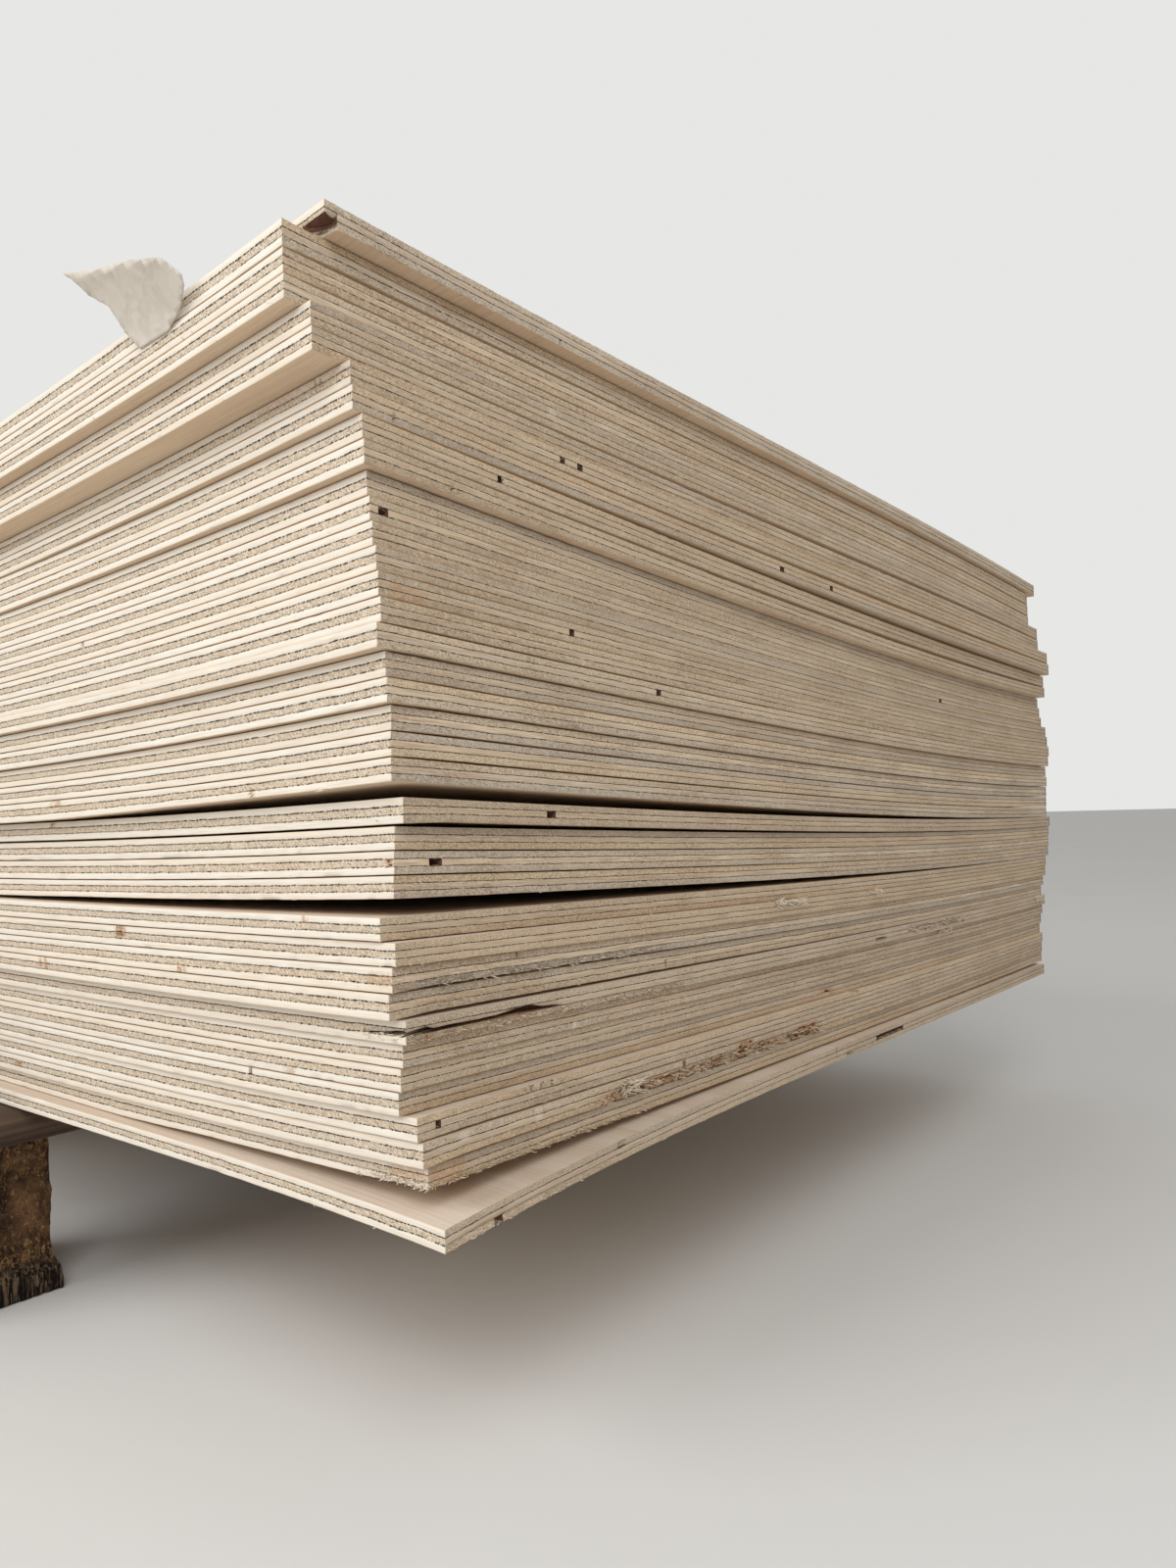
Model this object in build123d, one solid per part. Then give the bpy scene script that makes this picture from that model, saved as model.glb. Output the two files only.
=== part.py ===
"""A stack of three-ply plywood sheets on two runners with blocks, in millimetres."""

import math
import os

from build123d import *

# Driving dimensions of one sheet: +X runs along its length, +Y along its width
SHEET_LENGTH = 1200.0
SHEET_WIDTH = 800.0
SHEET_THICKNESS = 9.0
CORE_THICKNESS = 3.0

# The sheets are counted from the top. A row in the next three tables starts at the sheet that
# it names and holds for those below it, down to the next row.
SHEET_COUNT = 38

# How the sheets slid as they were piled. The near corner is the one at +X and -Y. Each row is:
# slide of that corner along X and Y, the sheet's turn about that corner in degrees, and how much
# farther along X each next sheet lies.
SLIDES = {
    "plywood_sheet_01": (-2.5, -17.0, -0.5, 0.0),
    "plywood_sheet_02": (-10.5, -30.5, -0.9, 0.2),
    "plywood_sheet_05": (-3.5, -23.5, -0.8, 0.4),
    "plywood_sheet_07": (2.0, -10.0, -0.7, 1.0),
    "plywood_sheet_09": (3.5, -6.0, -0.2, 0.7),
    "plywood_sheet_11": (0.5, -2.0, 0.1, 1.3),
    "plywood_sheet_14": (5.5, -2.5, 0.0, 1.1),
    "plywood_sheet_17": (7.5, -4.5, 0.0, 0.0),
    "plywood_sheet_18": (6.0, 0.5, 0.2, 0.6),
    "plywood_sheet_20": (5.0, 3.5, 0.2, -0.3),
    "plywood_sheet_23": (2.0, 11.0, 0.0, 0.0),
    "plywood_sheet_24": (-3.5, 11.0, -0.3, -0.6),
    "plywood_sheet_27": (-5.0, 4.0, -0.3, 0.0),
    "plywood_sheet_28": (2.0, 5.5, 0.3, -2.3),
    "plywood_sheet_31": (0.0, 11.5, 0.4, 0.0),
    "plywood_sheet_32": (-4.5, 13.5, 0.3, -1.6),
    "plywood_sheet_35": (-1.0, 17.0, 0.7, 0.0),
    "plywood_sheet_36": (0.5, 18.5, 0.9, 0.0),
    "plywood_sheet_37": (-1.5, 22.5, 0.9, 0.0),
    "plywood_sheet_38": (11.5, 19.0, 1.6, 0.0),
}

# The gap under the sheets at four places from the front edge to the back
GAPS = {
    "plywood_sheet_01": (1.2, 0.3, 1.5, 1.8),
    "plywood_sheet_04": (0.6, 2.2, 5.0, 0.7),
    "plywood_sheet_10": (1.2, 0.5, 0.3, 0.3),
    "plywood_sheet_17": (1.2, 0.5, 0.8, 0.4),
    "plywood_sheet_22": (0.3, 3.2, 0.5, 0.3),
    "plywood_sheet_23": (0.3, 0.3, 0.3, 0.3),
    "plywood_sheet_26": (1.7, 0.3, 0.3, 0.3),
    "plywood_sheet_27": (0.4, 0.3, 0.3, 0.3),
    "plywood_sheet_31": (0.3, 0.3, 0.3, 0.3),
    "plywood_sheet_35": (1.5, 0.3, 0.3, 0.7),
    "plywood_sheet_37": (0.7, 0.3, 0.3, 3.0),
}

# How far the front edge opens more than the back, away from the near corner
EDGE_OPENINGS = {
    "plywood_sheet_01": 0.0,
    "plywood_sheet_23": 2.2,
    "plywood_sheet_26": 0.5,
    "plywood_sheet_27": 1.2,
    "plywood_sheet_31": 1.7,
    "plywood_sheet_35": 0.0,
}

# How far the gap under one sheet opens more at its near corner
CORNER_OPENINGS = {
    "plywood_sheet_02": 1.2,
    "plywood_sheet_22": 7.0,
    "plywood_sheet_23": 2.2,
    "plywood_sheet_26": 8.3,
    "plywood_sheet_29": 1.2,
    "plywood_sheet_30": 1.7,
    "plywood_sheet_31": 0.6,
    "plywood_sheet_36": 0.5,
    "plywood_sheet_37": 1.6,
}

# The free end at +X arches a little, and the bottom sheet's near corner hangs down from it
REST_CLEARANCE = 0.3
END_RISES = (11.0, 9.2, 1.4, 0.0)
BOTTOM_DROOP = 28.5

# The bent sheets are surfaces over one common field, a little wider than the stack
FIELD_MARGIN = 60.0
FIELD_STEPS_X = 5
FIELD_STEPS_Y = 3
OPENING_SHARES = (1.0, 0.5, 0.0, 0.0)
DROOP_STEPS_X = 10
DROOP_STEPS_Y = 7

# Damage at the top sheet's near corner: the lower plies are broken out below the face ply
BREAK_LENGTH = 24.0
BREAK_WIDTH = 17.0

# A sheet split along its lower glue line, open at the near corner
SPLIT_SHEET = "plywood_sheet_31"
SPLIT_OPENING = 1.8
SPLIT_LENGTH = 92.0
SPLIT_DEPTH = 26.0

# Chips out of the bottom sheet's lower edge on the +X side: distance from corner, width, height
BOTTOM_CHIPS = [
    (28.5, 4.5, 2.6),
    (359.0, 10.0, 1.6),
]
CHIP_DEPTH = 5.0

# Voids in the core that the saw opened on the +X side: distance from the near corner and width
CORE_VOIDS = {
    "plywood_sheet_07": [(119.0, 3.0), (131.0, 3.5)],
    "plywood_sheet_08": [(313.0, 4.5), (375.0, 3.5)],
    "plywood_sheet_09": [(73.0, 3.0)],
    "plywood_sheet_12": [(4.5, 4.5)],
    "plywood_sheet_13": [(553.0, 4.5)],
    "plywood_sheet_15": [(111.0, 3.0)],
    "plywood_sheet_17": [(178.0, 3.5)],
    "plywood_sheet_23": [(84.0, 5.5)],
    "plywood_sheet_25": [(18.5, 6.5)],
    "plywood_sheet_35": [(10.0, 2.5)],
    "plywood_sheet_38": [(406.0, 46.0)],
}
VOID_DEPTH = 14.0
VOID_HEIGHT_SHARE = 0.8

# Cutting solids reach this far past the faces that they cut
CUT_MARGIN = 1.0

# Runner boards lie under the bottom sheet, front to back, on three rough blocks each
RUNNER_WIDTH = 110.0
RUNNER_THICKNESS = 20.0
RUNNER_INSET = 350.0
RUNNER_OVERHANG = 70.0
BLOCK_WIDTH = 100.0
BLOCK_LENGTH = 94.0
BLOCK_HEIGHT = 92.0
BLOCK_FOOT_FLARE = 5.0
BLOCK_FOOT_HEIGHT = 20.0
BLOCK_CLEARANCE = 0.3
BLOCK_RECESS = 12.0
RUNNER_SIDES = {"left": -1, "right": 1}
BLOCK_PLACES = ["front", "middle", "back"]

# The torn paper label, stuck by its lower edge to the front edge of one sheet. Its outline
# gives the distance from that sheet's near corner and the height above the label's foot.
LABEL_SHEET = "plywood_sheet_03"
LABEL_FOOT = 7.0
LABEL_OUTLINE = [
    (109.0, 0.0),
    (115.0, 8.0),
    (117.0, 18.0),
    (125.0, 24.0),
    (128.0, 30.0),
    (131.0, 33.0),
    (119.0, 30.5),
    (87.0, 25.5),
    (67.0, 20.5),
    (59.5, 13.0),
    (61.5, 10.0),
    (70.0, 5.0),
    (85.0, 0.0),
]
LABEL_THICKNESS = 0.3
LABEL_CLEARANCE = 0.3
LABEL_LEAN = 18.0
LABEL_CURL = 6.0

HALF_LENGTH = SHEET_LENGTH / 2
HALF_WIDTH = SHEET_WIDTH / 2
FIELD_LENGTH = SHEET_LENGTH + 2 * FIELD_MARGIN
FIELD_WIDTH = SHEET_WIDTH + 2 * FIELD_MARGIN


def sheet_name(number):
    """Node name of a sheet, counted from the top."""
    return f"plywood_sheet_{number:02d}"


def rows_from_top(table):
    """The row that holds for each sheet, from the top down."""
    rows = []
    for number in range(1, SHEET_COUNT + 1):
        name = sheet_name(number)
        rows.append(table[name] if name in table else rows[-1])
    return rows


def sheet_places():
    """Near corner and turn of every sheet, by name, from the top down."""
    places = {}
    below_row = 0
    for number, row in enumerate(rows_from_top(SLIDES), start=1):
        slide_x, slide_y, turn, creep = row
        below_row = 0 if sheet_name(number) in SLIDES else below_row + 1
        corner_x = HALF_LENGTH + slide_x + creep * below_row
        places[sheet_name(number)] = (corner_x, slide_y - HALF_WIDTH, turn)
    return places


def lowest_heights():
    """Control heights of the surface that the stack lies on, flat but for the arch at +X."""
    heights = [[REST_CLEARANCE] * len(END_RISES) for _ in range(FIELD_STEPS_X + 1)]
    heights[0] = [REST_CLEARANCE + rise for rise in END_RISES]
    return heights


def underside_heights():
    """Control heights of every sheet's underside, worked out from the lowest one up."""
    gaps = rows_from_top(GAPS)
    edges = rows_from_top(EDGE_OPENINGS)
    field = lowest_heights()
    heights = {sheet_name(SHEET_COUNT): drooping(field)}
    for number in range(SHEET_COUNT - 1, 0, -1):
        corner = CORNER_OPENINGS.get(sheet_name(number), 0.0)
        field = [row[:] for row in field]
        for step_x, row in enumerate(field):
            opening = corner if step_x == 0 else edges[number - 1]
            for step_y, share in enumerate(OPENING_SHARES):
                row[step_y] += SHEET_THICKNESS + gaps[number - 1][step_y] + share * opening
        heights[sheet_name(number)] = field
    return heights


def in_more_steps(values, steps):
    """Control values of the same curve, with more of them."""
    while len(values) <= steps:
        count = len(values)
        between = [
            (place * values[place - 1] + (count - place) * values[place]) / count
            for place in range(1, count)
        ]
        values = [values[0], *between, values[-1]]
    return values


def drooping(field):
    """The same surface in finer steps, with its free near corner hanging down."""
    rows = [in_more_steps(row, DROOP_STEPS_Y) for row in field]
    columns = [in_more_steps(list(column), DROOP_STEPS_X) for column in zip(*rows)]
    finer = [list(row) for row in zip(*columns)]
    finer[0][0] -= BOTTOM_DROOP
    return finer


def bent_slab(heights):
    """A slab over the common field, one sheet thick, on a surface with these heights."""
    steps_x = len(heights) - 1
    steps_y = len(heights[0]) - 1
    rows = []
    for step_x, row in enumerate(heights):
        x = FIELD_LENGTH / 2 - FIELD_LENGTH * step_x / steps_x
        points = []
        for step_y, height in enumerate(row):
            y = -FIELD_WIDTH / 2 + FIELD_WIDTH * step_y / steps_y
            points.append(Vector(x, y, height))
        rows.append(points)
    underside = Face.make_bezier_surface(rows)
    return Solid.extrude(underside, Vector(0, 0, SHEET_THICKNESS))


def placed_box(place, back, depth, along, width, low, high):
    """A box in a sheet's own corner frame: back from its +X edge, along its -Y to +Y edge."""
    corner_x, corner_y, turn = place
    box = Box(depth, width, high - low, align=(Align.MAX, Align.MIN, Align.MIN))
    return Pos(corner_x, corner_y, 0) * Rot(0, 0, turn) * Pos(-back, along, low) * box


def height_at(heights, x, y):
    """Height of a bent surface at one point."""
    steps_x = len(heights) - 1
    steps_y = len(heights[0]) - 1
    u = (FIELD_LENGTH / 2 - x) / FIELD_LENGTH
    v = (y + FIELD_WIDTH / 2) / FIELD_WIDTH
    total = 0.0
    for step_x in range(steps_x + 1):
        weight_x = math.comb(steps_x, step_x) * u**step_x * (1 - u) ** (steps_x - step_x)
        for step_y in range(steps_y + 1):
            weight_y = math.comb(steps_y, step_y) * v**step_y * (1 - v) ** (steps_y - step_y)
            total += weight_x * weight_y * heights[step_x][step_y]
    return total


def edge_point(place, along):
    """A point on a sheet's +X edge, at a distance from its near corner."""
    corner_x, corner_y, turn = place
    angle = math.radians(turn)
    return corner_x - along * math.sin(angle), corner_y + along * math.cos(angle)


def outlined(slab, place):
    """The part of a slab inside one sheet's rectangle."""
    tall = 2 * SHEET_COUNT * SHEET_THICKNESS
    outline = placed_box(place, 0, SHEET_LENGTH, 0, SHEET_WIDTH, -BOTTOM_DROOP, tall)
    return slab & outline


def core_void(place, heights, along, width):
    """A void in the core ply that opens on the +X side."""
    x, y = edge_point(place, along + width / 2)
    middle = height_at(heights, x, y) + SHEET_THICKNESS / 2
    half_height = CORE_THICKNESS * VOID_HEIGHT_SHARE / 2
    low = middle - half_height
    high = middle + half_height
    return placed_box(place, -CUT_MARGIN, VOID_DEPTH + CUT_MARGIN, along, width, low, high)


def broken_corner(place, heights):
    """The broken-out lower plies at the top sheet's near corner."""
    x, y = edge_point(place, 0)
    low = height_at(heights, x, y) - SHEET_THICKNESS
    profile = Polygon(
        (CUT_MARGIN, -CUT_MARGIN),
        (CUT_MARGIN, BREAK_WIDTH),
        (-BREAK_LENGTH * 0.3, BREAK_WIDTH * 0.8),
        (-BREAK_LENGTH * 0.55, BREAK_WIDTH * 0.35),
        (-BREAK_LENGTH, -CUT_MARGIN),
        align=None,
    )
    prism = extrude(profile, amount=2 * SHEET_THICKNESS - CORE_THICKNESS)
    return Pos(x, y, low) * Rot(0, 0, place[2]) * prism


def split_wedge(place, heights):
    """The open split along the lower glue line, a thin wedge that runs out along the edge."""
    x, y = edge_point(place, 0)
    glue_line = height_at(heights, x, y) + (SHEET_THICKNESS - CORE_THICKNESS) / 2
    far_x, far_y = edge_point(place, SPLIT_LENGTH)
    far_line = height_at(heights, far_x, far_y) + (SHEET_THICKNESS - CORE_THICKNESS) / 2
    profile = Polygon(
        (-CUT_MARGIN, glue_line),
        (-CUT_MARGIN, glue_line + SPLIT_OPENING),
        (SPLIT_LENGTH, far_line),
        align=None,
    )
    side = Plane(origin=(place[0], place[1], 0), x_dir=(0, 1, 0), z_dir=(1, 0, 0))
    wedge = extrude(side * profile, amount=SPLIT_DEPTH, dir=(-1, 0, 0))
    lip = extrude(side * profile, amount=CUT_MARGIN, dir=(1, 0, 0))
    turn = Pos(place[0], place[1], 0) * Rot(0, 0, place[2]) * Pos(-place[0], -place[1], 0)
    return turn * (wedge + lip)


def bottom_chip(place, heights, along, width, height):
    """A chip torn from the bottom sheet's lower edge."""
    x, y = edge_point(place, along)
    underside = height_at(heights, x, y)
    low = underside - CUT_MARGIN
    return placed_box(place, -CUT_MARGIN, CHIP_DEPTH + CUT_MARGIN, along, width, low, underside + height)


def make_sheets(places, heights):
    """Every sheet with its slide, turn, bend and damage."""
    sheets = {}
    for number, name in enumerate(places, start=1):
        place = places[name]
        sheet = outlined(bent_slab(heights[name]), place)
        for along, width in CORE_VOIDS.get(name, []):
            sheet -= core_void(place, heights[name], along, width)
        if number == 1:
            sheet -= broken_corner(place, heights[name])
        if name == SPLIT_SHEET:
            sheet -= split_wedge(place, heights[name])
        if number == SHEET_COUNT:
            for along, width, height in BOTTOM_CHIPS:
                sheet -= bottom_chip(place, heights[name], along, width, height)
        sheets[name] = sheet
    return sheets


def make_runner(side):
    """One runner board and its three blocks, on the -X or +X side."""
    outer_x = side * (HALF_LENGTH - RUNNER_INSET)
    centre_x = outer_x - side * RUNNER_WIDTH / 2
    board_length = SHEET_WIDTH + 2 * RUNNER_OVERHANG
    board = Box(RUNNER_WIDTH, board_length, RUNNER_THICKNESS, align=(Align.CENTER, Align.CENTER, Align.MAX))
    board = Pos(centre_x, 0, 0) * board
    block_x = outer_x - side * BLOCK_WIDTH / 2
    end_y = board_length / 2 - BLOCK_RECESS - BLOCK_LENGTH / 2
    blocks = []
    for share in (-1, 0, 1):
        top = -RUNNER_THICKNESS - BLOCK_CLEARANCE
        blocks.append(Pos(block_x, share * end_y, top) * make_block())
    return board, blocks


def make_block():
    """A rough block whose foot spreads a little, with its top face at its origin."""
    body = Box(
        BLOCK_WIDTH - 2 * BLOCK_FOOT_FLARE,
        BLOCK_LENGTH - 2 * BLOCK_FOOT_FLARE,
        BLOCK_HEIGHT - BLOCK_FOOT_HEIGHT,
        align=(Align.CENTER, Align.CENTER, Align.MAX),
    )
    waist = Rectangle(BLOCK_WIDTH - 2 * BLOCK_FOOT_FLARE, BLOCK_LENGTH - 2 * BLOCK_FOOT_FLARE)
    spread = Rectangle(BLOCK_WIDTH, BLOCK_LENGTH)
    waist_z = BLOCK_FOOT_HEIGHT - BLOCK_HEIGHT
    shoulder_z = waist_z - BLOCK_FOOT_HEIGHT * 0.4
    shoulder = loft([Pos(0, 0, waist_z) * waist, Pos(0, 0, shoulder_z) * spread])
    foot_height = BLOCK_HEIGHT + shoulder_z
    foot = Pos(0, 0, shoulder_z) * extrude(spread, amount=-foot_height)
    return body + shoulder + foot


def front_face_y(places, x):
    """How far the sheets round the label's foot reach towards -Y at one place along X."""
    names = list(places)
    label_place = names.index(LABEL_SHEET)
    reaches = []
    for name in names[label_place - 1 : label_place + 2]:
        corner_x, corner_y, turn = places[name]
        reaches.append(corner_y - (corner_x - x) * math.tan(math.radians(turn)))
    return min(reaches)


def make_label(places, heights):
    """The torn label: thin paper that leans off the front edges and curls at its ends."""
    corner_x, corner_y, _ = places[LABEL_SHEET]
    along = [point[0] for point in LABEL_OUTLINE]
    top = max(point[1] for point in LABEL_OUTLINE)
    first_x = corner_x - min(along)
    last_x = corner_x - max(along)
    first_y = front_face_y(places, first_x) - LABEL_CLEARANCE
    last_y = front_face_y(places, last_x) - LABEL_CLEARANCE
    middle_y = (first_y + last_y) / 2
    low = height_at(heights, (first_x + last_x) / 2, corner_y) + LABEL_FOOT
    rows = []
    for share in (0.0, 0.5, 1.0):
        lean = LABEL_LEAN * share**2
        curl = LABEL_CURL * share
        z = low + top * share
        rows.append(
            [
                Vector(first_x, first_y - lean - curl, z),
                Vector((first_x + last_x) / 2, middle_y - lean, z),
                Vector(last_x, last_y - lean - curl, z),
            ]
        )
    paper = Solid.extrude(Face.make_bezier_surface(rows), Vector(0, -LABEL_THICKNESS, 0))
    torn = Polygon(*[(corner_x - along, low + up) for along, up in LABEL_OUTLINE], align=None)
    front = Plane(origin=(0, max(first_y, last_y) + 1, 0), x_dir=(1, 0, 0), z_dir=(0, -1, 0))
    cutter = extrude(front * torn, amount=2 * (LABEL_LEAN + LABEL_CURL), dir=(0, -1, 0))
    return paper & cutter


def single_solid(shape):
    """The one solid of a shape, with a clear message if there are more or none."""
    solids = shape.solids()
    if len(solids) != 1:
        raise ValueError(f"expected one solid, found {len(solids)}")
    return solids[0]


def main():
    places = sheet_places()
    heights = underside_heights()
    pieces = make_sheets(places, heights)
    pieces["torn_label"] = make_label(places, heights[LABEL_SHEET])
    for side_name, side in RUNNER_SIDES.items():
        board, blocks = make_runner(side)
        pieces[f"runner_board_{side_name}"] = board
        for place_name, block in zip(BLOCK_PLACES, blocks):
            pieces[f"block_{side_name}_{place_name}"] = block
    box = Compound(children=[single_solid(piece) for piece in pieces.values()]).bounding_box()
    to_origin = Pos(-box.center().X, -box.center().Y, -box.min.Z)
    os.makedirs("parts", exist_ok=True)
    for name, piece in pieces.items():
        export_step(to_origin * single_solid(piece), f"parts/{name}.step")
    print(f"{len(pieces)} pieces, stack {box.size.X:.1f} x {box.size.Y:.1f} x {box.size.Z:.1f} mm")


main()
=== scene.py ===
"""Looks of the stack of plywood sheets: torn and sawn edges, veneer faces, label, runners, blocks."""

import math

import bmesh
import bpy
import numpy as np
from mathutils import Matrix, Vector, noise
from mathutils.geometry import delaunay_2d_cdt


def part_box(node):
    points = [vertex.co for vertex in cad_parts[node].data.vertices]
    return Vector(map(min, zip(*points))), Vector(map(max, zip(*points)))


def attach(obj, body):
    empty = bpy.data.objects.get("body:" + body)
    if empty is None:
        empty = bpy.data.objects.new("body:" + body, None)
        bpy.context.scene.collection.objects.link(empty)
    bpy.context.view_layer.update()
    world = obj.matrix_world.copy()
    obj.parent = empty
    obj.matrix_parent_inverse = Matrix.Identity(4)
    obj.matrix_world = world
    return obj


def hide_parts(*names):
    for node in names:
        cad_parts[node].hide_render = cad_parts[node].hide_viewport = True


MM = 0.001

# Driving sizes of the CAD source, in millimetres
SHEET_LENGTH = 1200.0
SHEET_WIDTH = 800.0
SHEET_THICKNESS = 9.0
PLY = 3.0
SHEET_COUNT = 38
HALF_LENGTH = SHEET_LENGTH / 2
HALF_WIDTH = SHEET_WIDTH / 2
SLIDES = {
    1: (-2.5, -17.0, -0.5, 0.0),
    2: (-10.5, -30.5, -0.9, 0.2),
    5: (-3.5, -23.5, -0.8, 0.4),
    7: (2.0, -10.0, -0.7, 1.0),
    9: (3.5, -6.0, -0.2, 0.7),
    11: (0.5, -2.0, 0.1, 1.3),
    14: (5.5, -2.5, 0.0, 1.1),
    17: (7.5, -4.5, 0.0, 0.0),
    18: (6.0, 0.5, 0.2, 0.6),
    20: (5.0, 3.5, 0.2, -0.3),
    23: (2.0, 11.0, 0.0, 0.0),
    24: (-3.5, 11.0, -0.3, -0.6),
    27: (-5.0, 4.0, -0.3, 0.0),
    28: (2.0, 5.5, 0.3, -2.3),
    31: (0.0, 11.5, 0.4, 0.0),
    32: (-4.5, 13.5, 0.3, -1.6),
    35: (-1.0, 17.0, 0.7, 0.0),
    36: (0.5, 18.5, 0.9, 0.0),
    37: (-1.5, 22.5, 0.9, 0.0),
    38: (11.5, 19.0, 1.6, 0.0),
}
GAPS = {
    1: (1.2, 0.3, 1.5, 1.8),
    4: (0.6, 2.2, 5.0, 0.7),
    10: (1.2, 0.5, 0.3, 0.3),
    17: (1.2, 0.5, 0.8, 0.4),
    22: (0.3, 3.2, 0.5, 0.3),
    23: (0.3, 0.3, 0.3, 0.3),
    26: (1.7, 0.3, 0.3, 0.3),
    27: (0.4, 0.3, 0.3, 0.3),
    31: (0.3, 0.3, 0.3, 0.3),
    35: (1.5, 0.3, 0.3, 0.7),
    37: (0.7, 0.3, 0.3, 3.0),
}
EDGE_OPENINGS = {1: 0.0, 23: 2.2, 26: 0.5, 27: 1.2, 31: 1.7, 35: 0.0}
CORNER_OPENINGS = {2: 1.2, 22: 7.0, 23: 2.2, 26: 8.3, 29: 1.2, 30: 1.7, 31: 0.6, 36: 0.5, 37: 1.6}
REST_CLEARANCE = 0.3
END_RISES = (11.0, 9.2, 1.4, 0.0)
BOTTOM_DROOP = 28.5
FIELD_MARGIN = 60.0
FIELD_STEPS_X = 5
OPENING_SHARES = (1.0, 0.5, 0.0, 0.0)
DROOP_STEPS_X = 10
DROOP_STEPS_Y = 7
FIELD_LENGTH = SHEET_LENGTH + 2 * FIELD_MARGIN
FIELD_WIDTH = SHEET_WIDTH + 2 * FIELD_MARGIN
RUNNER_INSET = 350.0
RUNNER_OVERHANG = 70.0

# The photographer's camera, in the sheets' frame: place, direction, roll and focal length
CAMERA_PLACE = (927.4, -665.0, 166.9)
CAMERA_AZIMUTH = -39.935
CAMERA_ELEVATION = 1.581
CAMERA_ROLL = -1.598
CAMERA_LENS = 24.754

# Heights in a sheet at which its sawn edge is modelled: the plies meet at 3 and 6. The rows that
# are named here and in the tables below are places in this list, from 0.
LEVELS = (0.0, 0.25, 2.7, 3.0, 3.3, 4.5, 5.7, 6.0, 6.3, 8.75, 9.0)
GLUE_ROWS = (3, 7)
CORE_ROWS = (4, 5, 6)
LOWER_ROWS = (0, 1, 2, 3)
BURR = 0.14

# Random walks that roughen an edge, as step and height: the whole edge, each ply, rows on a glue
# line, rows in end grain and in long grain, and how the glue lines wave
EDGE_WALKS = ((140.0, 0.18), (14.0, 0.06))
PLY_WALKS = ((70.0, 0.22), (6.0, 0.05))
GLUE_WALK = (5.0, 0.24)
END_GRAIN_WALK = (1.6, 0.28)
LONG_GRAIN_WALK = (9.0, 0.06)
GLUE_WAVE = (18.0, 0.24)

# How far the glue lines and the rims lie back, and where and how far a rim is torn
GLUE_BACK = 0.06
RIM_BACK = 0.1
TORN_FROM = 0.55
TORN_DEPTH = 2.2

# Where the gap under a sheet is narrow, its edge sags until a thin line is left
SEAM = 0.62
MOST_SAG = 1.2
SAG_ROUND_CORNER = 25.0
WIDE_GAP = 3.4
GAP_FADE = 1.2

# Seeds of the random draws, to which a sheet's number is added
EDGE_SEED = 1000
FIBRE_SEED = 2000
LABEL_SEED = 5

# Core voids that the saw opened in the right edges: sheet, from, to
VOID_DEPTH = 12.0
VOIDS = [
    (7, 119, 122),
    (7, 131, 134.5),
    (8, 313, 317.5),
    (8, 375, 378.5),
    (9, 73, 76),
    (12, 4.5, 9),
    (13, 553, 557.5),
    (15, 111, 114),
    (17, 178, 181.5),
    (23, 84, 89.5),
    (25, 18.5, 25),
    (35, 10, 12.5),
    (38, 406, 452),
]

# Damage cut into edges, by side: sheet, from, to, lowest row, highest row, depth, raggedness. A
# wound above RAGGED fades at its ends, and one below CLEAN_CUT is painted dark inside as shade.
RAGGED = 0.5
CLEAN_CUT = 0.15
RIGHT_WOUNDS = [(sheet, start, end, 4, 6, VOID_DEPTH, 0.1) for sheet, start, end in VOIDS]
RIGHT_WOUNDS += [
    (38, 28.5, 33, 0, 2, 5, 0.1),
    (38, 359, 369, 0, 1, 5, 0.2),
    (10, 44.6, 46.6, 2, 4, 2.4, 0.2),
    (8, 171.5, 174, 7, 8, 2, 0.2),
    (1, 1.2, 9, 7, 7, 3, 0.2),
    (30, 183, 185.4, 2, 4, 6, 0.2),
    (33, 316, 318.6, 4, 6, 6, 0.2),
    (29, 0, 190, 0, 2, 1.6, 0.9),
    (31, 0, 200, 0, 2, 1.5, 0.9),
    (36, 118, 340, 0, 5, 2.8, 0.9),
    (37, 0, 150, 0, 1, 1.8, 0.9),
    (38, 4, 90, 2, 4, 1.2, 0.9),
    (27, 300, 330, 0, 2, 1.5, 0.9),
    (31, 480, 590, 2, 8, 2, 0.9),
    (31, 424, 442, 2, 4, 3.5, 0.14),
    (35, 66.2, 68.2, 9, 9, 4.5, 0.1),
    (35, 72.8, 74.6, 9, 9, 4.5, 0.1),
    (35, 80, 81.6, 9, 9, 4.5, 0.1),
    (29, 69.5, 71.3, 9, 9, 3.5, 0.1),
    (1, 122, 123.4, 3, 3, 3.5, 0.1),
    (1, 133, 134.6, 1, 2, 2.4, 0.2),
    (1, 19, 26, 3, 3, 3.5, 0.12),
    (8, 19.6, 21.2, 2, 4, 2.4, 0.2),
    (36, 182.4, 184.6, 8, 9, 4, 0.1),
    (36, 148, 151, 0, 1, 4, 0.14),
    (34, 358, 364, 3, 4, 4, 0.14),
    (35, 387, 395, 9, 10, 3.2, 0.3),
    (38, 343.6, 346.4, 5, 8, 3, 0.2),
    (38, 112, 118, 7, 9, 1, 0.4),
]
FRONT_WOUNDS = [
    (18, 134, 147, 7, 7, 6, 0.2),
    (7, 18.8, 20.2, 7, 8, 3, 0.2),
    (14, 239, 242.5, 8, 9, 2.4, 0.2),
    (37, 0, 46, 0, 2, 2, 0.9),
    (7, 0, 70, 7, 8, 1.2, 0.9),
    (28, 214, 217, 7, 8, 2.4, 0.2),
    (34, 102, 104.6, 8, 9, 3.5, 0.1),
    (7, 22.6, 23.8, 7, 8, 3, 0.2),
]
WOUNDS = {"right": RIGHT_WOUNDS, "front": FRONT_WOUNDS}

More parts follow.
